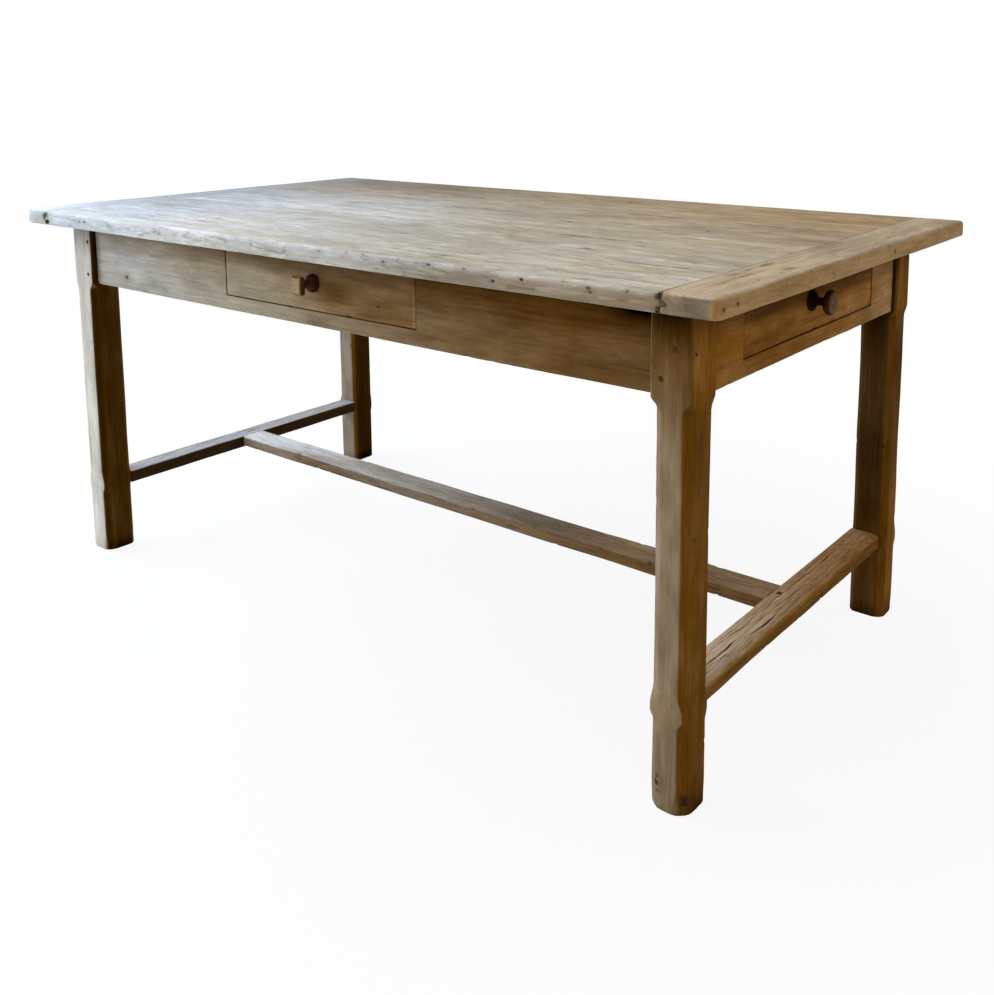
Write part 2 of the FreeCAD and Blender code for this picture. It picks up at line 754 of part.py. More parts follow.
def stop(opening_width, depth):
    face = -guide_face(opening_width)
    return block((face, face + runner_ledge), (depth + stop_gap, depth + stop_gap + stop_length),
                 (opening_bottom, opening_bottom + stop_height))


def front_runners():
    """The pair of the front drawer, which reach the inner face of the back apron."""
    return with_flip([runner(front_opening_width, drawer_room_y)], flip_x)


def end_runners():
    """The pair of the end drawer, which reach the outer face of the front drawer's right runner."""
    return with_flip([runner(end_opening_width, drawer_room_x)], flip_x)


def front_right_runner():
    """The right one of the front pair, housed for the ends of the other drawer's runners."""
    return at_front(front_runners()[1]).cut([at_right(bar) for bar in end_runners()])


def drawer_stops():
    front_stops = with_flip([stop(front_opening_width, front_drawer_depth)], flip_x)
    end_stops = with_flip([stop(end_opening_width, end_drawer_depth)], flip_x)
    return [at_front(piece) for piece in front_stops] + [at_right(piece) for piece in end_stops]


# Buttons under the top, in a frame where Y points away from the apron's inner face

def button_z():
    return (top_underside - button_height, top_underside)


def long_button_places():
    places = []
    for share in long_button_shares:
        places += [share * leg_inner_x, -share * leg_inner_x]
    return places


def end_button_places():
    return (end_button_share * leg_inner_y, -end_button_share * leg_inner_y)


def button_slot():
    low = button_z()[0] - button_gap
    return block(around(0, button_width + 2 * button_gap), (-button_tongue - groove_spare_depth, overrun),
                 (low, low + button_tongue_height + button_gap))


def button():
    """A small block whose tongue hooks the apron and lets the top move as it swells and shrinks."""
    low, high = button_z()
    body = block(around(0, button_width), (button_gap, button_reach), (low, high))
    tongue = block(around(0, button_width), (-button_tongue, overrun), (low, low + button_tongue_height - button_gap))
    return body.fuse(tongue).cut(button_screw(peg_clearance)).removeSplitter()


def button_screw(clearance):
    """A countersunk screw from below, through the middle of the button and into the plank."""
    low, high = button_z()
    middle = Vector(0, button_reach / 2, low)
    head_radius = screw_head_diameter / 2 + clearance
    shank_radius = screw_diameter / 2 + clearance
    head = Part.makeCone(head_radius, shank_radius, screw_head_height, middle, Vector(0, 0, 1))
    shank = Part.makeCylinder(shank_radius, button_height + screw_bite + clearance, middle, Vector(0, 0, 1))
    return head.fuse(shank).removeSplitter()


def at_buttons(shape):
    """Copies of a shape from a button's frame at every button of the table."""
    copies = []
    for x in long_button_places():
        copies.append(turned(shape, 0, Vector(x, -long_apron_inner_y, 0)))
        copies.append(turned(shape, 180, Vector(x, long_apron_inner_y, 0)))
    for y in end_button_places():
        copies.append(turned(shape, 90, Vector(end_apron_inner_x, y, 0)))
        copies.append(turned(shape, -90, Vector(-end_apron_inner_x, y, 0)))
    return copies


def screw_holes():
    return at_buttons(button_screw(peg_clearance))


def table_pieces():
    """Every node of the table by name, each with its list of solids."""
    pieces = {}
    for number in range(len(plank_width_shares)):
        pieces["top_plank_" + str(number + 1)] = [plank(number)]
    pieces["end_board_right"] = [end_board(right_joint_x, half_length, front_right_corner_radius,
                                           back_right_corner_radius)]
    pieces["end_board_left"] = [end_board(left_joint_x, -half_length, front_left_corner_radius,
                                          back_left_corner_radius)]
    pieces["end_board_pegs"] = end_board_pegs()
    right_leg = leg(right_leg_pegs(peg_clearance), right_leg_end_side_chamfer, right_leg_outer_chamfer,
                    right_leg_long_side_chamfer)
    back_left_leg = flip_x(leg(left_leg_pegs(peg_clearance), left_leg_end_side_chamfer,
                               left_leg_outer_chamfer, back_left_leg_long_side_chamfer))
    front_left_leg = flip_x(leg(left_leg_pegs(peg_clearance), left_leg_end_side_chamfer,
                                left_leg_outer_chamfer, front_left_leg_long_side_chamfer))
    pieces["leg_back_right"] = [right_leg]
    pieces["leg_back_left"] = [back_left_leg]
    pieces["leg_front_right"] = [flip_y(right_leg)]
    pieces["leg_front_left"] = [flip_y(front_left_leg)]
    pieces["apron_front"] = [front_apron()]
    pieces["apron_back"] = [back_apron()]
    pieces["apron_right"] = [right_apron()]
    pieces["apron_left"] = [left_apron()]
    back_pegs = right_leg_pegs(0) + [flip_x(peg) for peg in left_leg_pegs(0)]
    pieces["leg_pegs"] = with_flip(back_pegs, flip_y)
    pieces["stretcher_right"] = [side_stretcher()]
    pieces["stretcher_left"] = [flip_x(side_stretcher())]
    pieces["stretcher_centre"] = [centre_stretcher()]
    pieces["stretcher_pegs"] = with_flip([centre_stretcher_peg(0)], flip_x)
    pieces["top_buttons"] = at_buttons(button())
    pieces["button_screws"] = at_buttons(button_screw(0))
    pieces["front_runner_left"] = [at_front(front_runners()[0])]
    pieces["front_runner_right"] = [front_right_runner()]
    front_guide = guide(front_opening_width, drawer_room_y)
    pieces["front_guide_left"] = [at_front(front_guide)]
    pieces["front_guide_right"] = [at_front(flip_x(front_guide))]
    end_guide = guide(end_opening_width, drawer_room_x)
    pieces["end_runner_front"] = [at_right(end_runners()[0])]
    pieces["end_runner_back"] = [at_right(end_runners()[1])]
    pieces["end_guide_front"] = [at_right(end_guide)]
    pieces["end_guide_back"] = [at_right(flip_x(end_guide))]
    pieces["drawer_stops"] = drawer_stops()
    front = drawer("front", front_opening_width, front_drawer_depth, front_knob_rise_share,
                   front_knob_offset)
    for name, solids in front.items():
        pieces[name] = [at_front(solid) for solid in solids]
    end = drawer("end", end_opening_width, end_drawer_depth, end_knob_rise_share, end_knob_offset)
    for name, solids in end.items():
        pieces[name] = [at_right(solid) for solid in solids]
    pieces["front_drawer_knob"] = [at_front(front_knob())]
    pieces["end_drawer_knob"] = [at_right(end_knob())]
    return pieces


os.makedirs("parts", exist_ok=True)
for node_name, node_solids in table_pieces().items():
    shape = node_solids[0] if len(node_solids) == 1 else Part.makeCompound(node_solids)
    shape.exportStep("parts/" + node_name + ".step")
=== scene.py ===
import math

import bmesh
import bpy
import numpy as np
from mathutils import Matrix, Vector


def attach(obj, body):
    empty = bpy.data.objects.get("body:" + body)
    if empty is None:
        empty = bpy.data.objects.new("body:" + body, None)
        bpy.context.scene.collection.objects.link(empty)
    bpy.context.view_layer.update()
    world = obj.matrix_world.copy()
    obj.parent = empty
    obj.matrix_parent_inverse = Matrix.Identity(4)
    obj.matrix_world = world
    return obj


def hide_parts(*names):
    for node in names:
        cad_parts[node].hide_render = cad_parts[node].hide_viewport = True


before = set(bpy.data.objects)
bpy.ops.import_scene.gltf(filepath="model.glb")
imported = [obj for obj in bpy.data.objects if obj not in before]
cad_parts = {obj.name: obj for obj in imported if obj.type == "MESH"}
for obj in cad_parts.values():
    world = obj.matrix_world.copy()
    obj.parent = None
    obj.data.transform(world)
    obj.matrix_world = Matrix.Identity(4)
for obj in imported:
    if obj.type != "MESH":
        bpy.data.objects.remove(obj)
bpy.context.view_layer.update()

# Old oak farmhouse table: worn boards built over the CAD frame, in metres, in the frame's own axes.

# Places shared with the CAD solids

HALF_LENGTH = 0.83
HALF_WIDTH = 0.472
TOP = 0.76
UNDER = 0.732
RIGHT_JOINT = 0.745
LEFT_JOINT = -0.734
TONGUE_LOW, TONGUE_HIGH = 0.7415, 0.7505
TONGUE_LENGTH = 0.008
PLANK_SHARES = (0.183, 0.19, 0.12, 0.217, 0.29)
LEG_IN_X, LEG_IN_Y = 0.69, 0.337
LEG_HALF = 0.033
APRON_LOW = 0.599
OPENING_LOW = 0.627
LONG_APRON_Y = (0.364, 0.389)
END_APRON_X = (0.723, 0.748)
FRONT_OPENING = (-0.246, 0.246)
END_OPENING = (-0.245, 0.237)
STRETCHER_TOP = 0.169
SIDE_STRETCHER_X = (0.69, 0.746)
SIDE_STRETCHER_LOW = 0.142
CENTRE_STRETCHER_LOW = 0.145
CENTRE_STRETCHER_HALF = 0.032
LEG_PEGS = ((0.707, 0.627), (0.728, 0.67), (-0.705, 0.621), (-0.701, 0.691))
LEG_PEG_Y = 0.4028
TOP_PEG_X, TOP_PEG_Z = (0.806, -0.795), 0.7596
TOP_PEG_Y = (-0.323, -0.254, -0.141, -0.0637, 0.0953, 0.28, 0.4062)
RAIL_PEG_X, RAIL_PEG_Z = (0.701, -0.701), 0.1682
PEG_RADIUS, TOP_PEG_RADIUS = 0.0042, 0.0036

# Wear that all boards share

ARRIS_REACH = 0.0045
CAP_SHARES = (0.86, 0.6, 0.3)
CAP_ARRIS = 0.35
GRAIN_ORDER = {"x": (0, 1, 2), "y": (1, 0, 2), "z": (2, 0, 1)}


# Numbers: slopes, smooth noise and outlines

def smooth(part):
    """Eases a share between 0 and 1 so that it starts and ends gently."""
    return part * part * (3 - 2 * part)


def ramp(values, start, end):
    """Eases from 0 at start to 1 at end."""
    return smooth(np.clip((values - start) / (end - start), 0, 1))


def hump(values, centre, width):
    """Rises to 1 at the centre and falls away on both sides of it."""
    return np.exp(-((values - centre) / width) ** 2)


def lattice(x, y, z, seed):
    """A fixed random value between -1 and 1 for each whole-numbered place."""
    h = (x * 374761393 + y * 668265263 + z * 974634777 + seed * 362437) & 0xffffffff
    h = ((h ^ (h >> 13)) * 1274126177) & 0xffffffff
    return ((h ^ (h >> 16)) & 0xffff) / 32767.5 - 1.0


def noise(points, size, seed):
    """Smooth noise between -1 and 1 whose bumps are about as large as size, which may differ by axis."""
    scaled = points / np.asarray(size)
    cell = np.floor(scaled).astype(np.int64)
    part = smooth(scaled - cell)
    total = np.zeros(points.shape[:-1])
    for corner in range(8):
        step = (corner & 1, corner >> 1 & 1, corner >> 2 & 1)
        weight = np.ones(points.shape[:-1])
        for axis in range(3):
            weight = weight * (part[..., axis] if step[axis] else 1 - part[..., axis])
        total += weight * lattice(*[cell[..., axis] + step[axis] for axis in range(3)], seed)
    return total


def wave(along, size, seed):
    """Smooth noise along a line."""
    points = np.stack([along, np.full_like(along, 0.37 * seed), np.zeros_like(along)], -1)
    return noise(points, (size, 1, 1), seed)


def unit(vectors):
    return vectors / np.maximum(np.linalg.norm(vectors, axis=-1, keepdims=True), 1e-9)


def stations(low, high, step, close=(), close_step=0.001, close_reach=0.012):
    """Places along a board, closer together near its ends and near given places."""
    marks = list(np.linspace(low, high, max(int(round((high - low) / step)), 2) + 1))
    for place in (low, high) + tuple(close):
        offset = close_step
        while offset < close_reach:
            marks += [place - offset, place + offset]
            offset *= 1.9
    marks = np.unique(np.round(marks, 6))
    marks = marks[(marks >= low) & (marks <= high)]
    keep = [marks[0]]
    for mark in marks[1:]:
        if mark - keep[-1] > close_step * 0.4:
            keep.append(mark)
    keep[-1] = high
    return np.array(keep)


def per_station(along, *values):
    """Each value, a number or one value a station, as a column."""
    return np.stack([np.broadcast_to(np.asarray(value, float), along.shape) for value in values], 1)


def polygon(along, places):
    """The corners of an outline at every station."""
    return np.stack([per_station(along, *place) for place in places], 1)


def rectangle(along, v_low, v_high, w_low, w_high):
    return polygon(along, ((v_low, w_low), (v_high, w_low), (v_high, w_high), (v_low, w_high)))


def outline(corners, setbacks, counts, arc):
    """Points round every station's outline, its corners eased by their setbacks."""
    before = corners + unit(np.roll(corners, 1, axis=1) - corners) * setbacks[..., None]
    after = corners + unit(np.roll(corners, -1, axis=1) - corners) * setbacks[..., None]
    points = []
    for j in range(corners.shape[1]):
        for t in np.linspace(0, 1, arc):
            points.append((1 - t) ** 2 * before[:, j] + 2 * t * (1 - t) * corners[:, j] + t * t * after[:, j])
        end = before[:, (j + 1) % corners.shape[1]]
        for t in np.linspace(0, 1, counts[j] + 2)[1:-1]:
            points.append(after[:, j] + (end - after[:, j]) * t)
    return np.stack(points, 1)


def to_world(along, ring, axis):
    """Board coordinates (along, across, up) to the table's, for a board that runs along an axis."""
    u = np.broadcast_to(along[:, None], ring.shape[:2])
    v, w = ring[..., 0], ring[..., 1]
    return np.stack({"x": (u, v, w), "y": (v, u, w), "z": (v, w, u)}[axis], -1)


# Lofted boards

class Skin:
    """The points of a board and the way they face, one array for each coordinate."""

    def __init__(self, points, normals):
        self.x, self.y, self.z = points.T
        self.to_x, self.to_y, self.to_z = normals.T
        self.normals = normals


def loft(name, axis, along, corners, setbacks, counts, material, node, fade_and_light, tone, seed, body="frame", arc=3,
         worn=None, rough=0.0003, wear=0.0006, chips=0, chip_depth=0.0015, chip_corners=None):
    """One worn board as a closed mesh, with its wear and its grain's own coordinates stored on its points."""
    ring = outline(corners, setbacks, counts, arc)
    points = to_world(along, ring, axis)
    reaches = [np.linalg.norm(ring - corners[:, j:j + 1], axis=-1) for j in range(corners.shape[1])]
    worn = list(range(corners.shape[1]) if worn is None else worn)
    arris, dirt = np.zeros((2,) + ring.shape[:2])
    for j in worn:
        arris = np.maximum(arris, np.exp(-reaches[j] / ARRIS_REACH))
    normal = unit(np.cross(np.gradient(points, axis=0), np.roll(points, -1, 1) - np.roll(points, 1, 1)))
    if (normal * (points - points.mean(axis=1, keepdims=True))).sum() < 0:
        normal = -normal
    lengthwise = np.eye(3)["xyz".index(axis)]
    # Bumps are four times as long along the grain as across it.
    size = 1 + 3 * lengthwise
    push = rough * (0.7 * noise(points, 0.035 * size, seed) + 0.3 * noise(points, 0.009 * size, seed + 1))
    push -= wear * arris * np.clip(0.6 + noise(points, 0.03 * size, seed + 2), 0, 2)
    draw = np.random.default_rng(seed * 13 + 5)
    chip_corners = chip_corners or worn
    for _ in range(chips):
        corner = chip_corners[draw.integers(len(chip_corners))]
        place = draw.uniform(along[0], along[-1])
        width = draw.uniform(0.0015, 0.005)
        depth = chip_depth * draw.uniform(0.3, 1.0) ** 1.5
        bite = hump(along[:, None], place, width) * hump(reaches[corner], 0, depth * 2 + 0.003)
        push -= depth * bite
        dirt = np.maximum(dirt, bite * draw.uniform(0, 0.9))
    points = points + normal * push[..., None]

    count, around = ring.shape[:2]
    index = np.arange(count * around).reshape(count, around)
    rolled = np.roll(index, -1, axis=1)
    quads = [np.stack([index[:-1], rolled[:-1], rolled[1:], index[1:]], -1).reshape(-1, 4)]
    triangles = []
    vertices, facings, arrises = [points.reshape(-1, 3)], [normal.reshape(-1, 3)], [arris.ravel()]
    total = count * around
    for outward, row in ((-1, 0), (1, count - 1)):
        centre = points[row].mean(0)
        last = index[row]
        for share in CAP_SHARES:
            vertices.append(centre + (points[row] - centre) * share)
            arrises.append(np.full(around, CAP_ARRIS if share == CAP_SHARES[0] else 0.0))
            new = np.arange(total, total + around)
            quads.append(np.stack([last, np.roll(last, -1), np.roll(new, -1), new], -1))
            total += around
            last = new
        vertices.append(centre[None])
        arrises.append(np.zeros(1))
        triangles.append(np.stack([last, np.roll(last, -1), np.full(around, total)], -1))
        facings.append(np.tile(lengthwise * outward, (len(CAP_SHARES) * around + 1, 1)))
        total += 1
    vertices = np.concatenate(vertices)
    faces = np.concatenate(quads).tolist() + np.concatenate(triangles).tolist()
    mesh = bpy.data.meshes.new(name)
    mesh.from_pydata(vertices.tolist(), [], faces)
    skin = Skin(vertices, np.concatenate(facings))
    dirt = np.pad(dirt.ravel(), (0, total - dirt.size))
    add_values(mesh, "grain", vertices[:, GRAIN_ORDER[axis]] + draw.uniform(-3, 3, 3))
    # Stored as wear: arris share, dirt in chips, and the faded palette's share, which carries real fading
    # together with painted light and painted shade.
    add_values(mesh, "wear", np.stack([np.concatenate(arrises), dirt, fade_and_light(skin)], -1))
    add_values(mesh, "tone", tone(skin))
    for face in mesh.polygons:
        face.use_smooth = True
    dress(name, mesh, material, body, node)


def add_values(mesh, name, values):
    kind, field = ("FLOAT", "value") if values.ndim == 1 else ("FLOAT_VECTOR", "vector")
    attribute = mesh.attributes.new(name, kind, "POINT")
    attribute.data.foreach_set(field, values.astype(np.float32).ravel())


def dress(name, mesh, material, body, node):
    """Puts a mesh in the scene on its body, in place of its CAD node."""
    work = bmesh.new()
    work.from_mesh(mesh)
    bmesh.ops.recalc_face_normals(work, faces=work.faces)
    work.to_mesh(mesh)
    work.free()
    piece = bpy.data.objects.new(name, mesh)
    bpy.context.scene.collection.objects.link(piece)
    mesh.materials.append(materials[material])
    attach(piece, body)
    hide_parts(node)


# Materials

materials = {}


class Value:
    """A number, vector, colour or shader in a node tree. Sums of numbers read as plain arithmetic."""

    def __init__(self, tree, socket):
        self.tree, self.socket = tree, socket

    def then(self, operation, other=0.0, clamp=False):
        return self.tree.value("ShaderNodeMath", {0: self, 1: other}, operation=operation, use_clamp=clamp)

    def __add__(self, other):
        return self.then("ADD", other)

    def __sub__(self, other):
        return self.then("SUBTRACT", other)

    def __mul__(self, other):
        return self.then("MULTIPLY", other)

    def __truediv__(self, other):
        return self.then("DIVIDE", other)


class Tree:
    """The node tree of a material or of the world, built up by short calls."""

    def __init__(self, owner, kind="ShaderNodeOutputMaterial"):
        owner.use_nodes = True
        self.owner, self.nodes, self.links = owner, owner.node_tree.nodes, owner.node_tree.links
        self.nodes.clear()
        self.out = self.nodes.new(kind)

    def node(self, kind, inputs=(), **settings):
        made = self.nodes.new(kind)
        for key, value in settings.items():
            setattr(made, key, value)
        for key, value in dict(inputs).items():
            self.put(made.inputs[key], value)
        return made

    def value(self, kind, inputs=(), output=0, **settings):
        return Value(self, self.node(kind, inputs, **settings).outputs[output])

    def put(self, socket, value):
        if isinstance(value, Value):
            self.links.new(value.socket, socket)
        else:
            socket.default_value = (*value, 1) if socket.type == "RGBA" else value

    def finish(self, shader):
        self.put(self.out.inputs[0], shader)
        return self.owner

    def place(self):
        return self.value("ShaderNodeTexCoord", output="Object")

    def split(self, vector):
        return [Value(self, output) for output in self.node("ShaderNodeSeparateXYZ", {0: vector}).outputs]

    def vector(self, operation, a, b=(0.0, 0.0, 0.0), output=0):
        return self.value("ShaderNodeVectorMath", {0: a, 1: b}, output, operation=operation)

    def mix(self, share, a, b, blend="MIX"):
        return self.value("ShaderNodeMix", {0: share, 6: a, 7: b}, 2, data_type="RGBA", blend_type=blend)

    def tint(self, colour, by, share=1.0):
        return self.mix(share, colour, by, "MULTIPLY")

    def range(self, value, low, high, to_low=0.0, to_high=1.0):
        limits = {0: value, 1: low, 2: high, 3: to_low, 4: to_high}
        return self.value("ShaderNodeMapRange", limits, clamp=True, interpolation_type="SMOOTHSTEP")

    def noise(self, place, along, across, up=None, detail=2.0, roughness=0.5, distortion=0.0):
        """Noise of a place that is first scaled by one number along the grain and by others across it."""
        scaled = self.vector("MULTIPLY", place, (along, across, across if up is None else up))
        return self.value("ShaderNodeTexNoise", {"Vector": scaled, "Scale": 1.0, "Detail": detail,
                                                 "Roughness": roughness, "Distortion": distortion})


def grain_vector(s, axis):
    """The board's own grain coordinates, or for a CAD solid its place with X along the grain."""
    if axis is None:
        return s.value("ShaderNodeAttribute", output="Vector", attribute_name="grain")
    if axis == "x":
        return s.place()
    parts = s.split(s.place())
    return s.value("ShaderNodeCombineXYZ", {i: parts[GRAIN_ORDER[axis][i]] for i in range(3)})


HOLE_BLACK = (0.035, 0.022, 0.014)
CHIP_DIRT = (0.03, 0.02, 0.012)
CRACK_BROWN = (0.075, 0.05, 0.028)


def add_mark(s, place, mark, line, colour, height):
    """A knot or a nail hole: a dark core in a soft halo, sunk into the wood."""
    x, y, z, size, strength = mark
    gap = s.vector("MULTIPLY", s.vector("SUBTRACT", place, (x, y, z)), (0.62, 1.0, 1.0))
    wobble = s.value("ShaderNodeTexNoise", {"Vector": place, "Scale": 90.0}, 1)
    bent = s.vector("ADD", gap, s.vector("MULTIPLY", wobble, (0.004, 0.004, 0.004)))
    far = s.vector("LENGTH", s.vector("SUBTRACT", bent, (0.002, 0.002, 0.002)), output="Value")
    core = s.range(far, size, size * 0.35)
    halo = s.range(far, size * 3.2, size * 0.8)
    colour = s.mix(halo * (0.28 * strength), colour, line)
    return s.mix(core * strength, colour, HOLE_BLACK), height - core


def add_crack(s, ways, wander, broken, crack, colour, height):
    """A seam or crack that wanders to both sides of its line and breaks off here and there."""
    run, aside = ways
    at, start, end, half, strength, swing = crack
    off = aside - (wander * swing + (at - swing / 2))
    near = s.range(off.then("ABSOLUTE"), half * 2.2, half * 0.6)
    within = s.range(run, start, start + 0.03) * s.range(run, end, end - 0.03)
    share = near * within * s.range(broken, 0.36, 0.58, 0.15, 1.0)
    colour = s.mix(share * min(1.3 * strength, 0.95), colour, CRACK_BROWN)
    return colour, height - share * 1.5


def wood(name, faded_lit_colours, honey_shaded_colours, axis=None, scale=1.0, cool=None, cool_reach=(0.15, -0.75), ring_share=0.2,
         streak_share=1.0, pore_share=0.35, dark_share=0.4, light_share=0.25, patches=(), dashes=0.0,
         arris_wear_and_highlight=((0.85, 0.82, 0.75), 0.22), uneven_share=0.3, roughness=0.6, bump=1.0, specular=0.12,
         blotches=(4.5, 9.0), strokes=(21.0, 210.0), warp=0.0, marks=(), cracks=(), crack_axis=0):
    """Old oak in two palettes, each a pale streak, a deep streak and a dark line: faded for wood bleached by
    the sun and painted as lit, honey for wood out of the sun and painted as shaded.
    """
    s = Tree(bpy.data.materials.new(name))
    grain = grain_vector(s, axis)
    if warp:
        bend = (s.noise(grain, 6.0, 14.0) - 0.5) * warp
        grain = s.vector("ADD", grain, s.value("ShaderNodeCombineXYZ", {1: bend}))
    sideways, upward = s.split(grain)[1:]
    drift = s.noise(grain, 1.1, 5.0)
    ripple = s.noise(grain, 5.0, 60.0, detail=3.0)
    across = sideways + drift * 0.1
    up = upward + ripple * 0.006
    radius = (across * across + up * up).then("SQRT")
    ring = (radius / 0.0085 + ripple * 0.9).then("FRACT").then("POWER", 2.2)
    wide = s.noise(grain, 2.6 * scale, 34.0, detail=3.0, roughness=0.55, distortion=0.3)
    streak = s.noise(grain, 7.0 * scale, 190.0, detail=4.0, roughness=0.6)
    fibre = s.noise(grain, 22.0, 900.0)
    pore = s.range(s.noise(grain, 55.0, 1500.0, detail=1.0), 0.6, 0.72)
    bright = s.range(s.noise(grain, 10.0 * scale, 200.0), 0.56, 0.7)
    dark = s.range(s.noise(grain, 9.0 * scale, 300.0, detail=3.0, distortion=0.2), 0.6, 0.7)
    uneven = s.noise(grain, *blotches, detail=3.0, roughness=0.6) - 0.5
    broad = s.range(wide, 0.34, 0.66)
    fine = s.range(streak, 0.36, 0.64)
    mixed = (broad * 0.55 + fine * 0.45).then("MULTIPLY", streak_share, clamp=True)

    place = s.place()
    if axis is None:
        arris, dirt, fade_and_light = s.split(s.value("ShaderNodeAttribute", output="Vector", attribute_name="wear"))
        tone = s.value("ShaderNodeAttribute", output="Fac", attribute_name="tone")
        shade = (tone + 1.0) * (uneven * uneven_share + 1.0)
        fade_and_light_share = (uneven * 0.5).then("ADD", fade_and_light, clamp=True)
    else:
        shade = uneven * 0.35 + 1.0
        fade_and_light_share = 0.0
    # Mixes the palettes by the faded share: real sun fading together with painted light and painted shade.
    pale, deep, line = [s.mix(fade_and_light_share, honey_shaded_colours[i], faded_lit_colours[i]) for i in range(3)]
    colour = s.mix(mixed, pale, deep)
    for number, (patch, low, high) in enumerate(patches):
        moved = s.vector("ADD", grain, (3.1 * number, 1.7 * number, 0.0))
        spread = s.noise(moved, 3.6, 19.0, detail=4.0, roughness=0.6)
        colour = s.mix(s.range(spread, low, high), colour, s.tint(colour, patch))
    if dashes:
        ink = s.range(s.noise(grain, *strokes, distortion=0.4), 0.6, 0.66)
        moved = s.vector("ADD", grain, (5.3, 2.9, 0.0))
        chalk = s.range(s.noise(moved, strokes[0] * 0.8, strokes[1] * 0.8, distortion=0.4), 0.59, 0.65)
        colour = s.mix(ink * dashes, colour, line)
        colour = s.mix(chalk * dashes, colour, s.tint(pale, (1.3, 1.3, 1.28)))
    colour = s.mix(ring * s.range(wide, 0.3, 0.7) * ring_share, colour, line)
    colour = s.mix(bright * light_share, colour, s.tint(pale, (1.25, 1.25, 1.25)))
    colour = s.mix(s.range(fibre, 0.45, 0.7) * 0.12, colour, line)
    colour = s.mix(pore * pore_share, colour, line)
    colour = s.mix(dark * dark_share, colour, line)
    colour = s.tint(colour, s.value("ShaderNodeCombineXYZ", {0: shade, 1: shade, 2: shade}))
    # Painted cool window light: lit wood turns bluish towards the window end.
    if cool:
        cool_window_light = s.range(s.split(place)[0], *cool_reach).then("ADD", uneven * 0.4, clamp=True) * fade_and_light_share
        # A painted light share above 1 cools the wood beyond what its place does.
        cool_window_light = cool_window_light.then("ADD", (fade_and_light - 1.0).then("MAXIMUM"), clamp=True)
        colour = s.mix(cool_window_light, colour, s.tint(colour, cool))
    if axis is None:
        # Worn arrises turn paler: real wear, and also a painted highlight.
        colour = s.mix(arris * arris_wear_and_highlight[1], colour, s.tint(pale, arris_wear_and_highlight[0], 0.5))
        colour = s.mix(dirt, colour, CHIP_DIRT)

    height = fine * -0.25 + pore * -0.6 + fibre * 0.25 - dark * (0.5 * dark_share)
    for mark in marks:
        colour, height = add_mark(s, place, mark, line, colour, height)
    if cracks:
        where = s.split(place)
        ways = (where[crack_axis], where[1 - crack_axis])
        wander = s.noise(place, 9.0, 9.0, 1.0, detail=3.0, roughness=0.6)
        broken = s.noise(place, 26.0, 26.0, 1.0)
        for crack in cracks:
            colour, height = add_crack(s, ways, wander, broken, crack, colour, height)
    # Dark holes don't shine.
    shine = s.range(s.split(colour)[0], 0.04, 0.12, 0.0, specular) if marks else specular
    bumped = s.value("ShaderNodeBump", {"Strength": 0.55 * bump, "Distance": 0.0006, "Height": height})
    return s.finish(s.value("ShaderNodeBsdfPrincipled", {
        "Base Color": colour, "Roughness": mixed * 0.16 + (roughness - 0.08), "Normal": bumped,
        "Specular IOR Level": shine}))


def metal(name):
    """Dull steel with a little brown on it."""
    s = Tree(bpy.data.materials.new(name))
    spots = s.noise(s.place(), 220.0, 220.0, detail=4.0, roughness=0.6)
    colour = s.mix(s.range(spots, 0.45, 0.7), (0.32, 0.31, 0.3), (0.12, 0.07, 0.04))
    bumped = s.value("ShaderNodeBump", {"Strength": 0.3, "Distance": 0.0003, "Height": spots})
    return s.finish(s.value("ShaderNodeBsdfPrincipled", {
        "Base Color": colour, "Metallic": 0.9, "Normal": bumped,
        "Roughness": s.range(spots, 0.3, 0.7, 0.35, 0.7)}))


# Knots and nail holes: place, size, strength

TOP_MARKS = (
    (0.155, 0.38, 0.76, 0.006, 0.8), (0.465, -0.225, 0.76, 0.005, 0.7), (0.331, -0.414, 0.76, 0.006, 0.8),
    (-0.25, -0.362, 0.76, 0.005, 0.6), (0.734, 0.401, 0.76, 0.005, 0.7), (0.25, 0.025, 0.76, 0.006, 0.5),
    (0.352, -0.472, 0.7555, 0.0036, 0.9), (0.421, -0.472, 0.756, 0.003, 0.7),
    (0.475, -0.472, 0.7433, 0.0036, 0.9), (0.526, -0.472, 0.752, 0.0038, 0.95),
    (0.637, -0.472, 0.7518, 0.0042, 0.8), (0.641, -0.472, 0.747, 0.003, 0.7),
    (0.698, -0.472, 0.7547, 0.0028, 0.6), (-0.606, -0.472, 0.7478, 0.0028, 0.9),
    (-0.587, -0.472, 0.7482, 0.0028, 0.9), (-0.404, -0.472, 0.7507, 0.0026, 0.35),
    (-0.33, -0.472, 0.7469, 0.0032, 0.6), (-0.282, -0.472, 0.7484, 0.003, 0.45),
    (-0.189, -0.472, 0.7467, 0.0026, 0.35), (-0.13, -0.472, 0.748, 0.003, 0.5),
    (-0.06, -0.472, 0.75, 0.0026, 0.4), (0.03, -0.472, 0.7531, 0.0026, 0.5),
    (0.111, -0.472, 0.7538, 0.003, 0.6), (0.169, -0.472, 0.7479, 0.0022, 0.4),
    (0.258, -0.472, 0.7502, 0.003, 0.7), (0.83, -0.46, 0.7445, 0.0042, 0.95),
    (0.83, -0.4245, 0.748, 0.0042, 0.95), (0.83, -0.13, 0.744, 0.0035, 0.6),
    (0.83, 0.115, 0.746, 0.0042, 0.8), (-0.738, -0.472, 0.751, 0.0105, 1.0),
    (-0.73, -0.472, 0.739, 0.008, 1.0), (0.7436, -0.472, 0.7534, 0.0056, 1.0),
    (0.7458, -0.47, 0.7572, 0.0042, 1.0), (0.7436, -0.472, 0.739, 0.004, 1.0),
    (0.7436, -0.472, 0.734, 0.0036, 1.0), (0.751, -0.472, 0.745, 0.0056, 1.0),
)
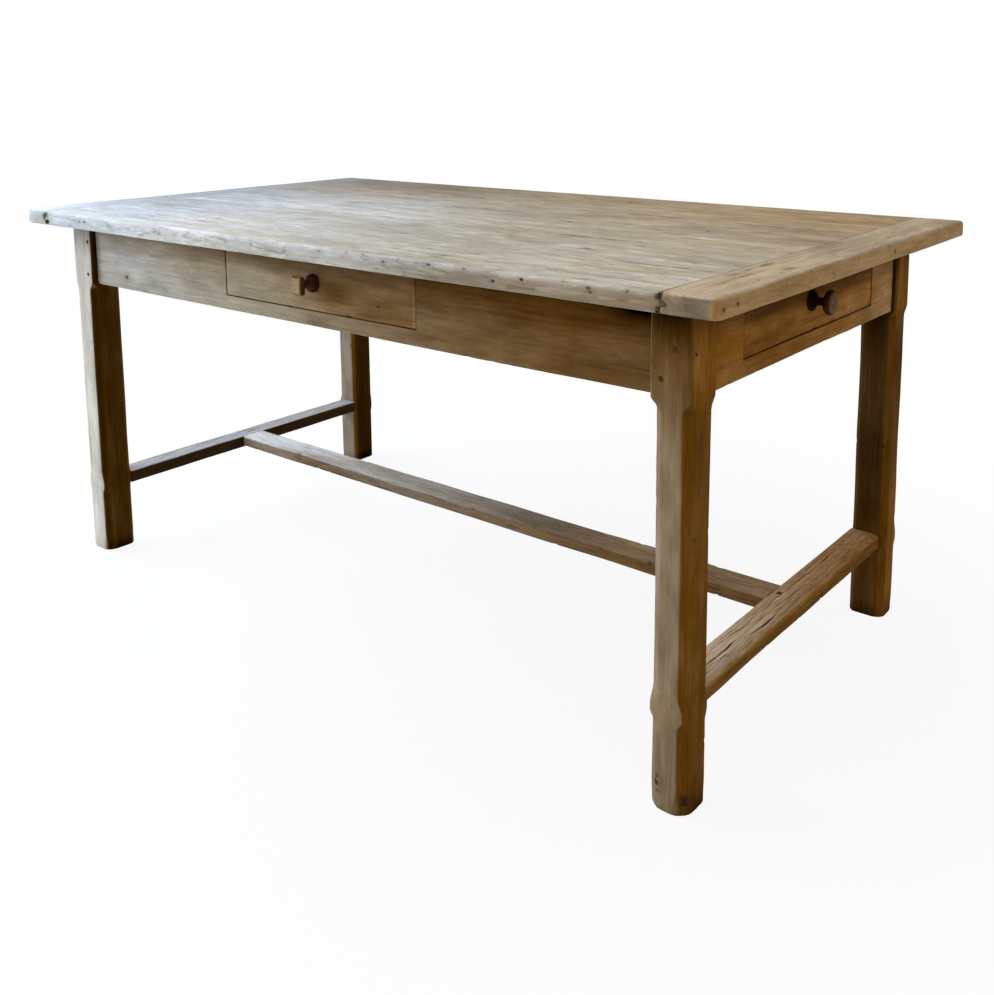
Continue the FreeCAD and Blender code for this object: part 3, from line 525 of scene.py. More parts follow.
FRAME_MARKS = (
    (-0.579, -0.389, 0.626, 0.0055, 0.8), (0.756, -0.394, 0.666, 0.004, 0.9),
    (0.16, -0.389, 0.655, 0.004, 0.6), (0.7062, -0.403, 0.0424, 0.0062, 0.9),
    (0.7499, -0.3941, 0.0213, 0.008, 0.8), (0.7499, -0.3941, 0.029, 0.007, 0.7),
    (0.7085, -0.403, 0.052, 0.0035, 0.8), (0.712, -0.403, 0.03, 0.004, 0.4),
    (0.748, 0.29, 0.64, 0.0035, 0.5),
)
KNOB_MARKS = ((0.788, -0.0205, 0.6814, 0.0026, 0.9), (0.788, -0.0247, 0.6741, 0.0026, 0.9))
# A mark nearer than this to a joint is on both of the boards that meet there.
JOINT_MARGIN = 0.005

# Seams and cracks in the top: place across, start, end, half width, strength, wander

PLANK_CRACKS = (
    (-0.3, LEFT_JOINT, 0.54, 0.0012, 0.35, 0.003), (-0.303, 0.54, RIGHT_JOINT, 0.0018, 0.8, 0.006),
    (-0.1199, -0.45, 0.3, 0.0016, 0.5, 0.004), (-0.1215, 0.29, 0.53, 0.0028, 0.9, 0.008),
    (-0.0066, -0.6, RIGHT_JOINT, 0.0013, 0.3, 0.003), (0.1982, -0.2, 0.25, 0.002, 0.5, 0.004),
    (0.2, 0.24, 0.4, 0.0032, 0.8, 0.006), (0.185, 0.5, RIGHT_JOINT, 0.003, 0.9, 0.012),
    (-0.422, 0.51, 0.742, 0.001, 0.6, 0.012), (-0.372, -0.37, -0.22, 0.0014, 0.8, 0.03),
    (-0.385, -0.33, -0.25, 0.001, 0.6, 0.04), (0.03, 0.2, 0.3, 0.0026, 0.7, 0.012),
    (-0.2345, 0.44, 0.5, 0.0018, 0.85, 0.004), (-0.4, -0.22, -0.12, 0.001, 0.5, 0.02),
    (0.256, -0.36, -0.14, 0.0026, 0.6, 0.012), (0.127, -0.29, -0.19, 0.0022, 0.7, 0.012),
    (0.105, -0.05, 0.1, 0.0016, 0.4, 0.012), (0.025, 0.41, 0.53, 0.0022, 0.5, 0.014),
    (0.3, 0.3, 0.48, 0.002, 0.4, 0.014), (-0.235, -0.55, -0.42, 0.0011, 0.4, 0.012),
    (-0.2, -0.1, 0.02, 0.0013, 0.4, 0.01), (0.35, 0.05, 0.17, 0.0022, 0.5, 0.012),
)
END_BOARD_CRACKS = (
    (0.7452, -0.47, 0.47, 0.001, 0.35, 0.0012), (0.76, -0.34, -0.17, 0.0034, 0.5, 0.01),
    (0.756, -0.02, 0.08, 0.0034, 0.5, 0.01), (-0.7345, -0.47, 0.47, 0.0013, 0.4, 0.0012),
    (0.7775, -0.4, -0.22, 0.0012, 0.5, 0.012), (0.802, -0.25, -0.18, 0.004, 0.5, 0.02),
)

# Each pair is a faded palette and a honey palette of one wood: real sun fading, and also painted light and
# painted shade.
TOP_COLOURS = (((0.6, 0.57, 0.5), (0.46, 0.42, 0.34), (0.22, 0.165, 0.11)),
               ((0.5, 0.31, 0.115), (0.37, 0.215, 0.065), (0.17, 0.085, 0.025)))
TOP_PATCHES = (((0.97, 0.9, 0.89), 0.5, 0.66), ((1.02, 1.00, 0.88), 0.48, 0.62),
               ((0.84, 0.82, 0.8), 0.56, 0.66))
TOP_LOOK = {"cool": (0.86, 0.96, 1.23), "arris_wear_and_highlight": ((0.92, 0.95, 1.1), 0.55), "roughness": 0.5,
            "specular": 0.38, "pore_share": 0.2, "uneven_share": 0.85, "blotches": (7.0, 30.0)}
FADED_LIT_FRAME = ((0.4, 0.318, 0.21), (0.295, 0.223, 0.134), (0.17, 0.11, 0.06))
HONEY_SHADED_FRAME = ((0.28, 0.12, 0.011), (0.165, 0.063, 0.004), (0.075, 0.026, 0.002))
FADED_LIT_STRETCHER = ((0.56, 0.51, 0.44), (0.34, 0.28, 0.21), (0.12, 0.08, 0.05))
HONEY_SHADED_STRETCHER = ((0.42, 0.2, 0.03), (0.27, 0.116, 0.014), (0.09, 0.038, 0.005))
PEG_BROWN = ((0.105, 0.058, 0.013), (0.07, 0.037, 0.008), (0.038, 0.019, 0.005))
INNER_BROWN = ((0.36, 0.235, 0.11), (0.23, 0.135, 0.055), (0.11, 0.06, 0.025))
# The knob's pale palette paints its lit side, its dark palette its shaded side.
PALE_KNOB = ((0.42, 0.28, 0.13), (0.3, 0.18, 0.075), (0.16, 0.09, 0.04))
DARK_KNOB = ((0.12, 0.042, 0.018), (0.05, 0.016, 0.007), (0.02, 0.007, 0.004))

materials["top"] = wood(
    "top oak", *TOP_COLOURS, scale=2.4, ring_share=0.1, dark_share=0.6, light_share=0.5, dashes=0.55,
    strokes=(20.0, 100.0), warp=0.03, patches=TOP_PATCHES, cracks=PLANK_CRACKS, **TOP_LOOK,
    marks=[m for m in TOP_MARKS if LEFT_JOINT - JOINT_MARGIN < m[0] < RIGHT_JOINT + JOINT_MARGIN])
materials["board"] = wood(
    "board oak", *TOP_COLOURS, scale=1.8, ring_share=0.05, dark_share=0.3, light_share=0.3, dashes=0.3,
    strokes=(24.0, 130.0), warp=0.02, patches=TOP_PATCHES[:2], cracks=END_BOARD_CRACKS, crack_axis=1,
    marks=[m for m in TOP_MARKS if not LEFT_JOINT + JOINT_MARGIN < m[0] < RIGHT_JOINT - JOINT_MARGIN],
    **TOP_LOOK)
materials["frame"] = wood(
    "frame oak", FADED_LIT_FRAME, HONEY_SHADED_FRAME, cool=(0.95, 1.1, 1.5), cool_reach=(-0.25, -0.75),
    uneven_share=1.1, specular=0.025, warp=0.015, blotches=(9.0, 24.0), streak_share=0.85, marks=FRAME_MARKS)
materials["stretcher"] = wood("stretcher oak", FADED_LIT_STRETCHER, HONEY_SHADED_STRETCHER, cool=(0.95, 1.02, 1.25),
                              pore_share=0.5, dark_share=0.6, dashes=0.4, bump=1.5, specular=0.04)
materials["peg"] = wood("peg oak", FADED_LIT_FRAME, PEG_BROWN, axis="z", specular=0.03)
for letter in "xy":
    materials["inner " + letter] = wood("inner oak " + letter, FADED_LIT_FRAME, INNER_BROWN, axis=letter)
materials["knob"] = wood("knob wood", PALE_KNOB, DARK_KNOB, roughness=0.5, specular=0.1, marks=KNOB_MARKS)
materials["steel"] = metal("steel")

for node_name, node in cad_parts.items():
    key = "inner x"
    if node_name.endswith("_nails") or node_name == "button_screws":
        key = "steel"
    elif node_name.endswith("_pegs"):
        key = "peg"
    elif node_name.endswith("_knob"):
        key = "knob"
    elif node_name.startswith("front_") and not node_name.endswith(("_back", "_front")):
        key = "inner y"
    elif node_name == "end_drawer_back":
        key = "inner y"
    node.data.materials.clear()
    node.data.materials.append(materials[key])


# Top: planks and end boards

# How far a worn face lies inside the face of its solid
SKIN_GAP = 0.0003
SEAM_EASE = (0.0006, 0.0006, 0.0018, 0.0004, 0.0018, 0.0006)
SEAM_GAP = 0.00015
JOINT_GAP = 0.0002
EDGE_EASE = 0.0085
GROOVE_EASE = 0.0003
# Under the top: at a seam, at an outer edge
UNDER_EASE = (0.0008, 0.003)
PLANK_TONES = (0.04, -0.03, 0.03, -0.07, -0.02)


def low_face(s):
    """Painted shade on the lower part of the top's long front face, darker and warmer towards the right."""
    return ramp(s.z, 0.758, 0.749) * ramp(-s.to_y, 0.4, 0.8) * ramp(s.x, 0.28, 0.46)


def plank_tone(s):
    """How the top's brightness changes from the window at the left to the room at the right and back."""
    return (-0.24 * ramp(s.y, 0.0, 0.47) - 0.14 * ramp(s.y, 0.1, 0.42) * ramp(s.x, 0.1, -0.4)
            + 0.12 * ramp(s.x, 0.1, 0.7) - 0.25 * ramp(s.x, -0.3, -0.72)
            + 0.16 * ramp(s.x, -0.2, 0.5) * ramp(s.y, 0.0, 0.28)
            + 0.1 * ramp(s.x, 0.35, 0.65) * ramp(s.y, 0.1, -0.1)
            - 0.12 * hump(s.x, -0.34, 0.18) * ramp(s.y, 0.0, 0.25)
            + 0.07 * hump(s.x, -0.32, 0.22) * ramp(s.y, 0.0, -0.15)
            + 0.07 * hump(s.x, 0.02, 0.18) * ramp(s.y, 0.1, 0.25) - 0.07 * hump(s.x, 0.05, 0.12)
            - 0.06 * hump(s.x, 0.28, 0.1) * ramp(s.y, 0.0, -0.1)
            - 0.06 * ramp(-s.to_y, 0.75, 0.95) - 0.44 * low_face(s))


def plank_fade_and_light(s):
    """Painted window light with real fading: faded and grey near the window, honey brown towards the right
    and the back, with a painted highlight along the top of the long front face near its middle.
    """
    upper_edge_highlight = ramp(-s.to_y, 0.2, 0.6) * ramp(s.z, 0.747, 0.751)
    return (1.0 - ramp(s.x, -0.35, 0.75) * (0.2 + 0.32 * ramp(s.y, -0.42, 0.05))
            - (0.4 + 0.2 * ramp(s.x, 0.1, -0.4)) * ramp(s.y, -0.05, 0.4)
            - 0.22 * ramp(s.x, -0.2, -0.5) * ramp(s.y, -0.05, 0.2) + 0.07 * ramp(s.x, 0.2, 0.5)
            - 0.45 * low_face(s) + 0.4 * upper_edge_highlight * ramp(s.x, 0.5, 0.25) * ramp(s.x, -0.5, -0.1))


def build_planks():
    """The planks. A short tongue at each end shows on the long edges, between the end boards' lips."""
    low = -HALF_WIDTH
    for number, share in enumerate(PLANK_SHARES):
        high = low + share * 2 * HALF_WIDTH
        first, last = number == 0, number == len(PLANK_SHARES) - 1
        at_edge = first or last
        along = stations(LEFT_JOINT + JOINT_GAP, RIGHT_JOINT - JOINT_GAP, 0.0026 if first else 0.006)
        seed = 11 + number
        v_low = low + (0 if first else SEAM_GAP)
        v_high = high - (0 if last else SEAM_GAP)
        if first:
            v_low = v_low + 0.00055 * (1 + wave(along, 0.16, seed)) + 0.0004 * wave(along, 0.03, seed + 3)
        if last:
            v_high = v_high - 0.0006 * (1 + wave(along, 0.15, seed))
        cup = 0.0003 * wave(along, 0.5, seed + 5)
        corners = rectangle(along, v_low, v_high, UNDER, TOP - 0.0002 + cup)
        top_low = EDGE_EASE * (1 + 0.25 * wave(along, 0.09, seed + 7)) if first else SEAM_EASE[number]
        top_high = EDGE_EASE * (1 + 0.25 * wave(along, 0.09, seed + 8)) if last else SEAM_EASE[number + 1]
        setbacks = per_station(along, UNDER_EASE[first], UNDER_EASE[last], top_high, top_low)
        tongue = rectangle(along[:2], np.min(corners[0, :, 0]) + 0.0004, np.max(corners[0, :, 0]) - 0.0004,
                           TONGUE_LOW + SKIN_GAP, TONGUE_HIGH - SKIN_GAP)
        tongue_setbacks = np.full((2, 4), 0.0006)
        corners = np.concatenate([tongue, corners, tongue])
        setbacks = np.concatenate([tongue_setbacks, setbacks, tongue_setbacks])
        start, end = along[0] - (TONGUE_LENGTH, JOINT_GAP), along[-1] + (JOINT_GAP, TONGUE_LENGTH)
        across = max(int((high - low) / 0.006), 8)
        name = "%d" % (number + 1)
        loft("top_board_" + name, "x", np.concatenate([start, along, end]), corners, setbacks,
             (across // 2, 3, across, 3), "top", "top_plank_" + name, plank_fade_and_light,
             lambda s: PLANK_TONES[number] + plank_tone(s), seed, arc=5 if at_edge else 3, worn=(2, 3),
             rough=0.00035, wear=0.0006 if at_edge else 0.0003, chips=24 if at_edge else 8, chip_depth=0.001,
             chip_corners=[3] if first else [2] if last else None)
        low = high


def front_face(s):
    """The end grain at the front of an end board, up to where its corner begins to turn."""
    return ramp(-s.to_y, 0.55, 0.85) * ramp(np.abs(s.x), 0.817, 0.8155)


# Painted light and shade on the right end board: its top lighter towards both long edges, its outer end
# lighter, its front end grain darker towards the outer corner.
def right_board_tone(s):
    return (ramp(s.to_z, 0.3, 0.9) * (0.36 * ramp(s.y, 0.2, -0.3) + 0.18 * ramp(s.y, 0.05, 0.3))
            + 0.36 * ramp(s.to_x, 0.5, 0.9) - front_face(s) * (0.12 + 0.4 * ramp(s.x, 0.752, 0.785)))


# Painted light with real fading: the top and the front end grain take some of the faded palette.
def right_board_fade_and_light(s):
    return np.maximum(0.46 * ramp(s.to_z, 0.3, 0.9), 0.34 * front_face(s))


# Painted shade towards the back: the left end board darkens and fades less there; it is darker overall too.
def left_board_tone(s):
    return -0.38 - 0.14 * ramp(s.y, -0.2, 0.4)


def left_board_fade_and_light(s):
    return 1 - 0.35 * ramp(s.y, 0.0, 0.4)


def pulled(distance, radius):
    """How far a rounding of the given radius draws an edge in, at a distance from the board's end."""
    inside = np.clip(radius - distance, 0, radius)
    return radius - np.sqrt(np.maximum(radius ** 2 - inside ** 2, 0))


def build_end_board(name, node, joint, outer, front_round, back_round, seed, fade_and_light, tone):
    """A cross board whose lips close over the planks' tongues and whose outer corners are rounded in plan."""
    outward = 1 if outer > joint else -1
    along = stations(-HALF_WIDTH, HALF_WIDTH, 0.006, close_step=0.0007, close_reach=0.03)
    from_front, from_back = along + HALF_WIDTH, HALF_WIDTH - along
    edge = outer - outward * (pulled(from_front, front_round) + pulled(from_back, back_round))
    edge = edge - outward * 0.0006 * (1 + wave(along, 0.12, seed))
    top = TOP - pulled(from_front, 0.007) - pulled(from_back, 0.007)
    under = UNDER + pulled(from_front, 0.0025) + pulled(from_back, 0.0025)
    # The lips are worn back where the joint meets the front edge, which leaves dark gaps there.
    lip_top = joint + outward * (JOINT_GAP + 0.0022 * hump(from_front, 0, 0.006))
    lip_low = joint + outward * (JOINT_GAP + 0.002 * hump(from_front, 0, 0.005))
    inner = joint + outward * (TONGUE_LENGTH + 0.0012)
    corners = polygon(along, [(lip_low, under), (edge, under), (edge, top), (lip_top, top),
                              (lip_top, TONGUE_HIGH), (inner, TONGUE_HIGH), (inner, TONGUE_LOW),
                              (lip_low, TONGUE_LOW)])
    room = np.clip((top - under) * 0.3, 0.0008, None)
    ease = np.minimum(0.0075 * (1 + 0.2 * wave(along, 0.1, seed + 4)), room)
    lip_ease = 0.0004 + 0.003 * hump(from_front, 0, 0.008)
    setbacks = per_station(along, 0.0006, np.minimum(0.0025, room), ease, lip_ease, *[GROOVE_EASE] * 4)
    loft(name, "y", along, corners, setbacks, (12, 3, 15, 1, 1, 1, 1, 1), "board", node, fade_and_light, tone, seed,
         arc=4, worn=(1, 2, 3), wear=0.0007, chips=16, chip_depth=0.0012, chip_corners=[2])


# Base: legs, aprons and drawer fronts

# Heights between which a chamfer dies out below a block or opens out above it
LOWER_BLOCK_START, LOWER_BLOCK_END = (0.13, 0.146), (0.155, 0.182)
UPPER_BLOCK_START = (0.583, 0.603)
SLIGHT_SHARE = 0.52
BLOCK_ARRIS = 0.0016
CHAMFER_WANDER = 0.003
FOOT_ROUND = 0.005
BLOCK_LOW, BLOCK_HIGH = 0.595, 0.605
TURNS = ((-1, -1), (1, -1), (1, 1), (-1, 1))
# How dark the painted shade under the top is, and the heights between which it deepens.
UNDER_TOP_SHADE, UNDER_TOP_SHADE_LOW, UNDER_TOP_SHADE_HIGH = 0.66, 0.655, 0.737
INNER_SHADE = 0.66
DARKEST = -0.95


def under_top(s):
    """The painted shade that darkens the base just under the top."""
    return -UNDER_TOP_SHADE * ramp(s.z, UNDER_TOP_SHADE_LOW, UNDER_TOP_SHADE_HIGH)


def leg_chamfer_at(z, full):
    """How wide a leg's corner chamfer is at each height: full, slight over the lower block, none above."""
    slight = SLIGHT_SHARE * full
    width = full + (slight - full) * ramp(z, *LOWER_BLOCK_START)
    width = np.where(z > LOWER_BLOCK_END[0], slight + (full - slight) * ramp(z, *LOWER_BLOCK_END), width)
    upper = full + (BLOCK_ARRIS - full) * ramp(z, *UPPER_BLOCK_START)
    return np.where(z > UPPER_BLOCK_START[0], upper, width)


def facing(s, x, y):
    """How much each point faces a direction given by whole numbers."""
    return ramp(s.normals @ (np.array([x, y, 0]) / math.hypot(x, y)), 0.84, 0.96)


def facing_any(s, *directions):
    return np.max([facing(s, *direction) for direction in directions], axis=0)


def window_side(s):
    """The faces that only show from behind, where the window lights them."""
    return facing_any(s, (-1, 1), (0, 1), (-1, 0))


# Painted light with real fading: faces towards the window take the faded palette, less so near the top of the
# legs.
def leg_fade_and_light(s, side_x, side_y):
    left, near = side_x < 0, side_y < 0
    front = facing(s, 0, -1) * (1.0 if near else 0.5 if left else 0.1)
    if not near:
        front = np.maximum(front, facing(s, 0, 1) * (0.9 if left else 0.35))
    if left:
        front = 1.5 * front
        upper = 1 - 0.15 * ramp(s.z, 0.54, 0.7)
    else:
        upper = 0.8 * (1 - ramp(s.z, 0.47, 0.71))
    lit = np.maximum(front, facing(s, -1, 0) * (1.0 if left else 0.4))
    lit = np.maximum(lit, facing(s, -1, -1) * (1.0 if near else 0.4)) * upper
    if near:
        lit = np.maximum(lit, 0.6 * facing(s, -1, -1) * ramp(s.z, 0.6, 0.606))
    return np.maximum(lit, 0.6 * window_side(s))


# Painted light and shade on a left leg: faces and chamfers turned away from the window are darker, its front
# lighter low down.
def left_leg_tone(s, near):
    side = facing(s, 1, 0) * (1.0 if near else 0.9)
    corner_dark = (0.68 if near else 0.85) + 0.2 * ramp(s.z, 0.592, 0.604)
    return (0.36 - 0.04 * ramp(s.z, 0.6, 0.7) - (0.36 if near else 0.51) * side
            - 0.22 * side * ramp(s.z, 0.592, 0.604)
            + (0.22 if near else -0.22) * facing(s, 0, -1) * ramp(s.z, 0.62, 0.55)
            - corner_dark * facing(s, 1, -1 if near else 1))


# Painted light and shade on a right leg: bands up its front and side, and a painted highlight on its front
# left edge above the block.
def right_leg_tone(s, near):
    front = (0.14 * ramp(s.z, 0.22, 0.1) - 0.07 * hump(s.z, 0.33, 0.05) + 0.1 * hump(s.z, 0.46, 0.06)
             + 0.25 * hump(s.z, 0.15, 0.035) - 0.2 * ramp(s.z, 0.5, 0.62) - 0.15 * ramp(s.z, 0.63, 0.68))
    side = 0.42 * ramp(s.z, 0.52, 0.62) - 0.3 * ramp(s.z, 0.66, 0.72) - 0.45 * ramp(s.z, 0.06, 0.0)
    # Painted shadow where the chamfer's lamb's tongue stops.
    corner = -0.4 * hump(s.z, 0.59, 0.007)
    if near:
        side = side + 0.22 * hump(s.z, 0.64, 0.04)
    else:
        side = (side + ramp(s.z, BLOCK_LOW, BLOCK_HIGH) * (0.45 - 1.1 * ramp(s.y, 0.35, 0.342))
                + 0.6 * ramp(s.z, 0.32, 0.22) - 0.3 * ramp(s.z, 0.36, 0.46))
        corner = corner - 0.22 * ramp(s.z, 0.24, 0.34)
    return (facing(s, 0, -1) * front + facing(s, 1, 0) * side + facing(s, 1, -1) * corner
            + 0.7 * facing(s, -1, -1) * ramp(s.z, 0.6, 0.606))


def leg_tone(s, side_x, side_y):
    """Painted shade on the faces under the table, with the painted light and shade that each leg has of its
    own.
    """
    left, near = side_x < 0, side_y < 0
    inner = np.maximum(facing_any(s, (-side_x, 0), (-side_x, -side_y)),
                       facing(s, 0, -side_y) * (0.6 if left and not near else 1.0))
    if left:
        inner = np.maximum(inner, 0.8 * facing(s, -side_x, side_y))
    lift = left_leg_tone(s, near) if left else right_leg_tone(s, near)
    lift = lift - 0.25 * ramp(s.z, 0.035, 0.0)
    return np.maximum(lift - INNER_SHADE * inner * (1 - 0.5 * window_side(s)) + under_top(s), DARKEST)


def build_leg(name, node, side_x, side_y, seed, chamfers):
    """A square leg whose stopped chamfers differ from corner to corner."""
    along = stations(0.0, UNDER, 0.006, close=(0.0, 0.15, BLOCK_LOW), close_step=0.002, close_reach=0.03)
    draw = np.random.default_rng(seed)
    half = LEG_HALF - SKIN_GAP - pulled(along, FOOT_ROUND)
    cx, cy = side_x * (LEG_IN_X + LEG_HALF), side_y * (LEG_IN_Y + LEG_HALF)
    cuts = [leg_chamfer_at(along + CHAMFER_WANDER * draw.uniform(-1, 1), chamfers[k])
            * (1 + 0.06 * wave(along, 0.08, seed + k)) for k in range(4)]
    places = []
    for k, (sx, sy) in enumerate(TURNS):
        cut = np.minimum(cuts[k], half * 0.8)
        first = (cx + sx * half, cy + sy * (half - cut))
        second = (cx + sx * (half - cut), cy + sy * half)
        places += [first, second] if sx == sy else [second, first]
    soft = 0.0016 + 0.007 * ramp(along, 0.04, 0.0)
    setbacks = per_station(along, *[np.minimum(soft, cuts[k // 2] * 0.46) for k in range(8)])
    loft(name, "z", along, polygon(along, places), setbacks, (4, 10) * 4, "frame", node,
         lambda s: leg_fade_and_light(s, side_x, side_y), lambda s: leg_tone(s, side_x, side_y), seed, rough=0.0006,
         wear=0.0008, chips=16, chip_depth=0.0014)


def build_apron(name, node, axis, reach, span, seed, chips, chip_depth, fade_and_light, tone, opening=()):
    """A rail between the legs. Over an opening's span its top edge drops to the opening's bottom."""
    along = stations(-reach, reach, 0.008, close=opening, close_step=0.0005, close_reach=0.01)
    top = np.full(len(along), UNDER - SKIN_GAP)
    if opening:
        top[(along > opening[0] - 1e-6) & (along < opening[1] + 1e-6)] = OPENING_LOW
    bottom = APRON_LOW + 0.0005 * (1 + wave(along, 0.2, seed))
    corners = rectangle(along, *sorted(span), bottom, top)
    setbacks = per_station(along, 0.0022, 0.0022, 0.0009, 0.0009)
    loft(name, axis, along, corners, setbacks, (4, 16, 4, 16), "frame", node, fade_and_light, tone, seed, rough=0.0004,
         wear=0.0005, chips=chips, chip_depth=chip_depth, chip_corners=[0, 1])


def build_long_apron(name, node, side, seed, opening=()):
    # Painted window light with real fading: the face is more faded towards the left and in its lower part.
    def fade_and_light(s):
        low = 0.12 + 0.12 * ramp(s.x, 0.5, 0.2) + 0.5 * ramp(s.x, 0.15, -0.15)
        face = 1 - 0.92 * ramp(s.x, -0.75, 0.6) + low * ramp(s.z, 0.71, 0.63) - 0.18 * ramp(s.z, 0.66, 0.72)
        return np.where(s.to_y * side > 0.3, face, 0.1)

    # Painted light and shade: the face darkens towards the right and under the top.
    def tone(s):
        shade_under_top = 0.75 + 0.35 * ramp(s.x, -0.6, -0.2) + 0.6 * ramp(s.x, 0.6, 0.66) - 0.3 * hump(s.x, 0.52, 0.09)
        face = (0.1 - 0.17 * ramp(s.x, -0.5, 0.25) - 0.12 * ramp(s.x, 0.25, 0.6)
                - 0.1 * hump(s.x, 0.12, 0.1) + 0.1 * ramp(s.x, 0.1, -0.2) * ramp(s.z, 0.7, 0.63)
                + under_top(s) * shade_under_top)
        return np.where(s.to_y * side > 0.3, face, -0.3)

    span = [side * y for y in LONG_APRON_Y]
    build_apron(name, node, "x", LEG_IN_X, span, seed, 30, 0.0012, fade_and_light, tone, opening)


def build_end_apron(name, node, side, seed, opening=()):
    # Painted light and shade on the right end's face: paler towards the back and low down, darker under the
    # top.
    def fade_and_light(s):
        face = 0.28 * ramp(s.y, 0.1, 0.3) + 0.11 * ramp(s.z, 0.67, 0.62) if side > 0 else 0.9
        return np.where(s.to_x * side > 0.3, face, 0.0)

    def tone(s):
        shade_under_top = np.maximum(under_top(s), -0.45)
        right = (0.72 + 0.34 * ramp(s.y, 0.1, 0.3) + 0.16 * ramp(s.z, 0.69, 0.63)
                 - 0.22 * ramp(s.z, 0.66, 0.68) + 2.1 * shade_under_top)
        return np.where(s.to_x * side > 0.3, right if side > 0 else 0.5 * shade_under_top, -0.3)

    span = [side * x for x in END_APRON_X]
    build_apron(name, node, "y", LEG_IN_Y, span, seed, 16, 0.0016, fade_and_light, tone, opening)


DRAWER_SIDE_GAP, DRAWER_LOW_GAP, DRAWER_TOP_GAP = 0.0015, 0.0016, 0.0022
DRAWER_FRONT = 0.0215


def build_drawer_front(name, node, body, axis, span, face, seed, fade_and_light, tone):
    """A drawer's front board, its face towards the room at the given place."""
    along = stations(span[0] + DRAWER_SIDE_GAP, span[1] - DRAWER_SIDE_GAP, 0.007, close_step=0.0006,
                     close_reach=0.008)
    outward = math.copysign(1.0, face)
    drop = 0.0016 * np.exp(-np.minimum(along - along[0], along[-1] - along) / 0.0012)
    front, back = face - outward * drop, face - outward * DRAWER_FRONT
    low, high = (back, front) if outward > 0 else (front, back)
    corners = rectangle(along, low, high, OPENING_LOW + DRAWER_LOW_GAP, UNDER - DRAWER_TOP_GAP)

    def on_face(s, value, elsewhere):
        turned = ramp(outward * (s.to_y if axis == "x" else s.to_x), 0.0, 0.5)
        return elsewhere + (value - elsewhere) * turned

    loft(name, axis, along, corners, np.full((len(along), 4), 0.0014), (4, 14, 4, 14), "frame", node,
         lambda s: on_face(s, fade_and_light(s), 0.25), lambda s: on_face(s, np.maximum(tone(s), -0.5), -0.2), seed,
         body, rough=0.00035, wear=0.0004, chips=14, chip_depth=0.0014)


def knob_shadow(s):
    """A painted shadow of the long side's knob on the drawer front, beside and below the knob."""
    return hump(s.x, 0.045, 0.042) * hump(s.z, 0.66, 0.022)


def right_end_highlight(s):
    """A painted highlight on the right end of the long side's drawer front."""
    return ramp(s.x, 0.237, 0.24) * ramp(s.z, 0.7, 0.67)


# Painted light and shade on the long side's drawer front: more faded towards the left and low down, darker
# under the top.
def long_drawer_fade_and_light(s):
    return (0.66 - 0.5 * ramp(s.x, -0.35, 0.3)
            + (0.1 + 0.62 * ramp(s.x, 0.05, -0.2)) * ramp(s.z, 0.715, 0.65)
            - 0.15 * ramp(s.z, 0.66, 0.72) * ramp(s.x, 0.1, -0.1)
            + 0.3 * right_end_highlight(s) - 0.35 * knob_shadow(s))


def long_drawer_tone(s):
    return (0.1 - 0.12 * ramp(s.x, -0.5, 0.35) + 0.16 * ramp(s.z, 0.7, 0.65) * ramp(s.x, 0.0, -0.15)
            - 0.16 * hump(s.x, 0.1, 0.1) * (1 - 0.6 * ramp(s.z, 0.68, 0.65))
            - 0.22 * hump(s.x, -0.16, 0.14) * ramp(s.z, 0.67, 0.71) + 0.2 * right_end_highlight(s)
            + under_top(s) * (0.4 + 0.6 * ramp(s.x, -0.4, 0.1)) - 0.36 * knob_shadow(s))


def short_drawer_fade_and_light(s):
    return 0.06 * ramp(s.y, -0.1, 0.25) + 0.09 * ramp(s.z, 0.675, 0.655)


# Painted shade on the short side's drawer front: darker in its upper part under the top and along the gap at
# its bottom, lighter towards the back and low down.
def short_drawer_tone(s):
    return (0.62 + 0.26 * ramp(s.y, -0.2, 0.25) + 2.3 * under_top(s)
            - (0.5 + 0.12 * ramp(s.y, 0.0, 0.15)) * ramp(s.z, 0.662, 0.68) + 0.25 * ramp(s.z, 0.7, 0.655)
            - 0.6 * ramp(s.z, OPENING_LOW + 0.008, OPENING_LOW + 0.002))


# Stretchers: two side rails and the centre rail

# Cracks in a side rail's top: from its outer side, width, depth, start, end
RAIL_CRACKS = ((0.019, 0.0026, 0.006, -0.33, -0.03), (0.029, 0.0022, 0.005, -0.3, 0.06),
               (0.04, 0.002, 0.004, -0.2, 0.24))


# Painted light and shade on a side rail: its top is lit and faded, its outer flank darker.
def side_rail_fade_and_light(s, side):
    top = 0.3 + 0.36 * ramp(s.y, 0.2, -0.3) if side > 0 else 1.0
    return top * ramp(s.to_z, 0.45, 0.9) + 0.6 * ramp(-s.to_x, 0.5, 0.9)


def side_rail_tone(s, side):
    top, flank = (0.84 + 0.34 * ramp(s.y, 0.1, -0.3), -0.16) if side > 0 else (-0.08, -0.88)
    return (top * ramp(s.to_z, 0.2, 0.75)
            + flank * (1 - ramp(s.to_z, 0.1, 0.5)) * (1 - 0.7 * ramp(-s.to_x, 0.5, 0.9)))


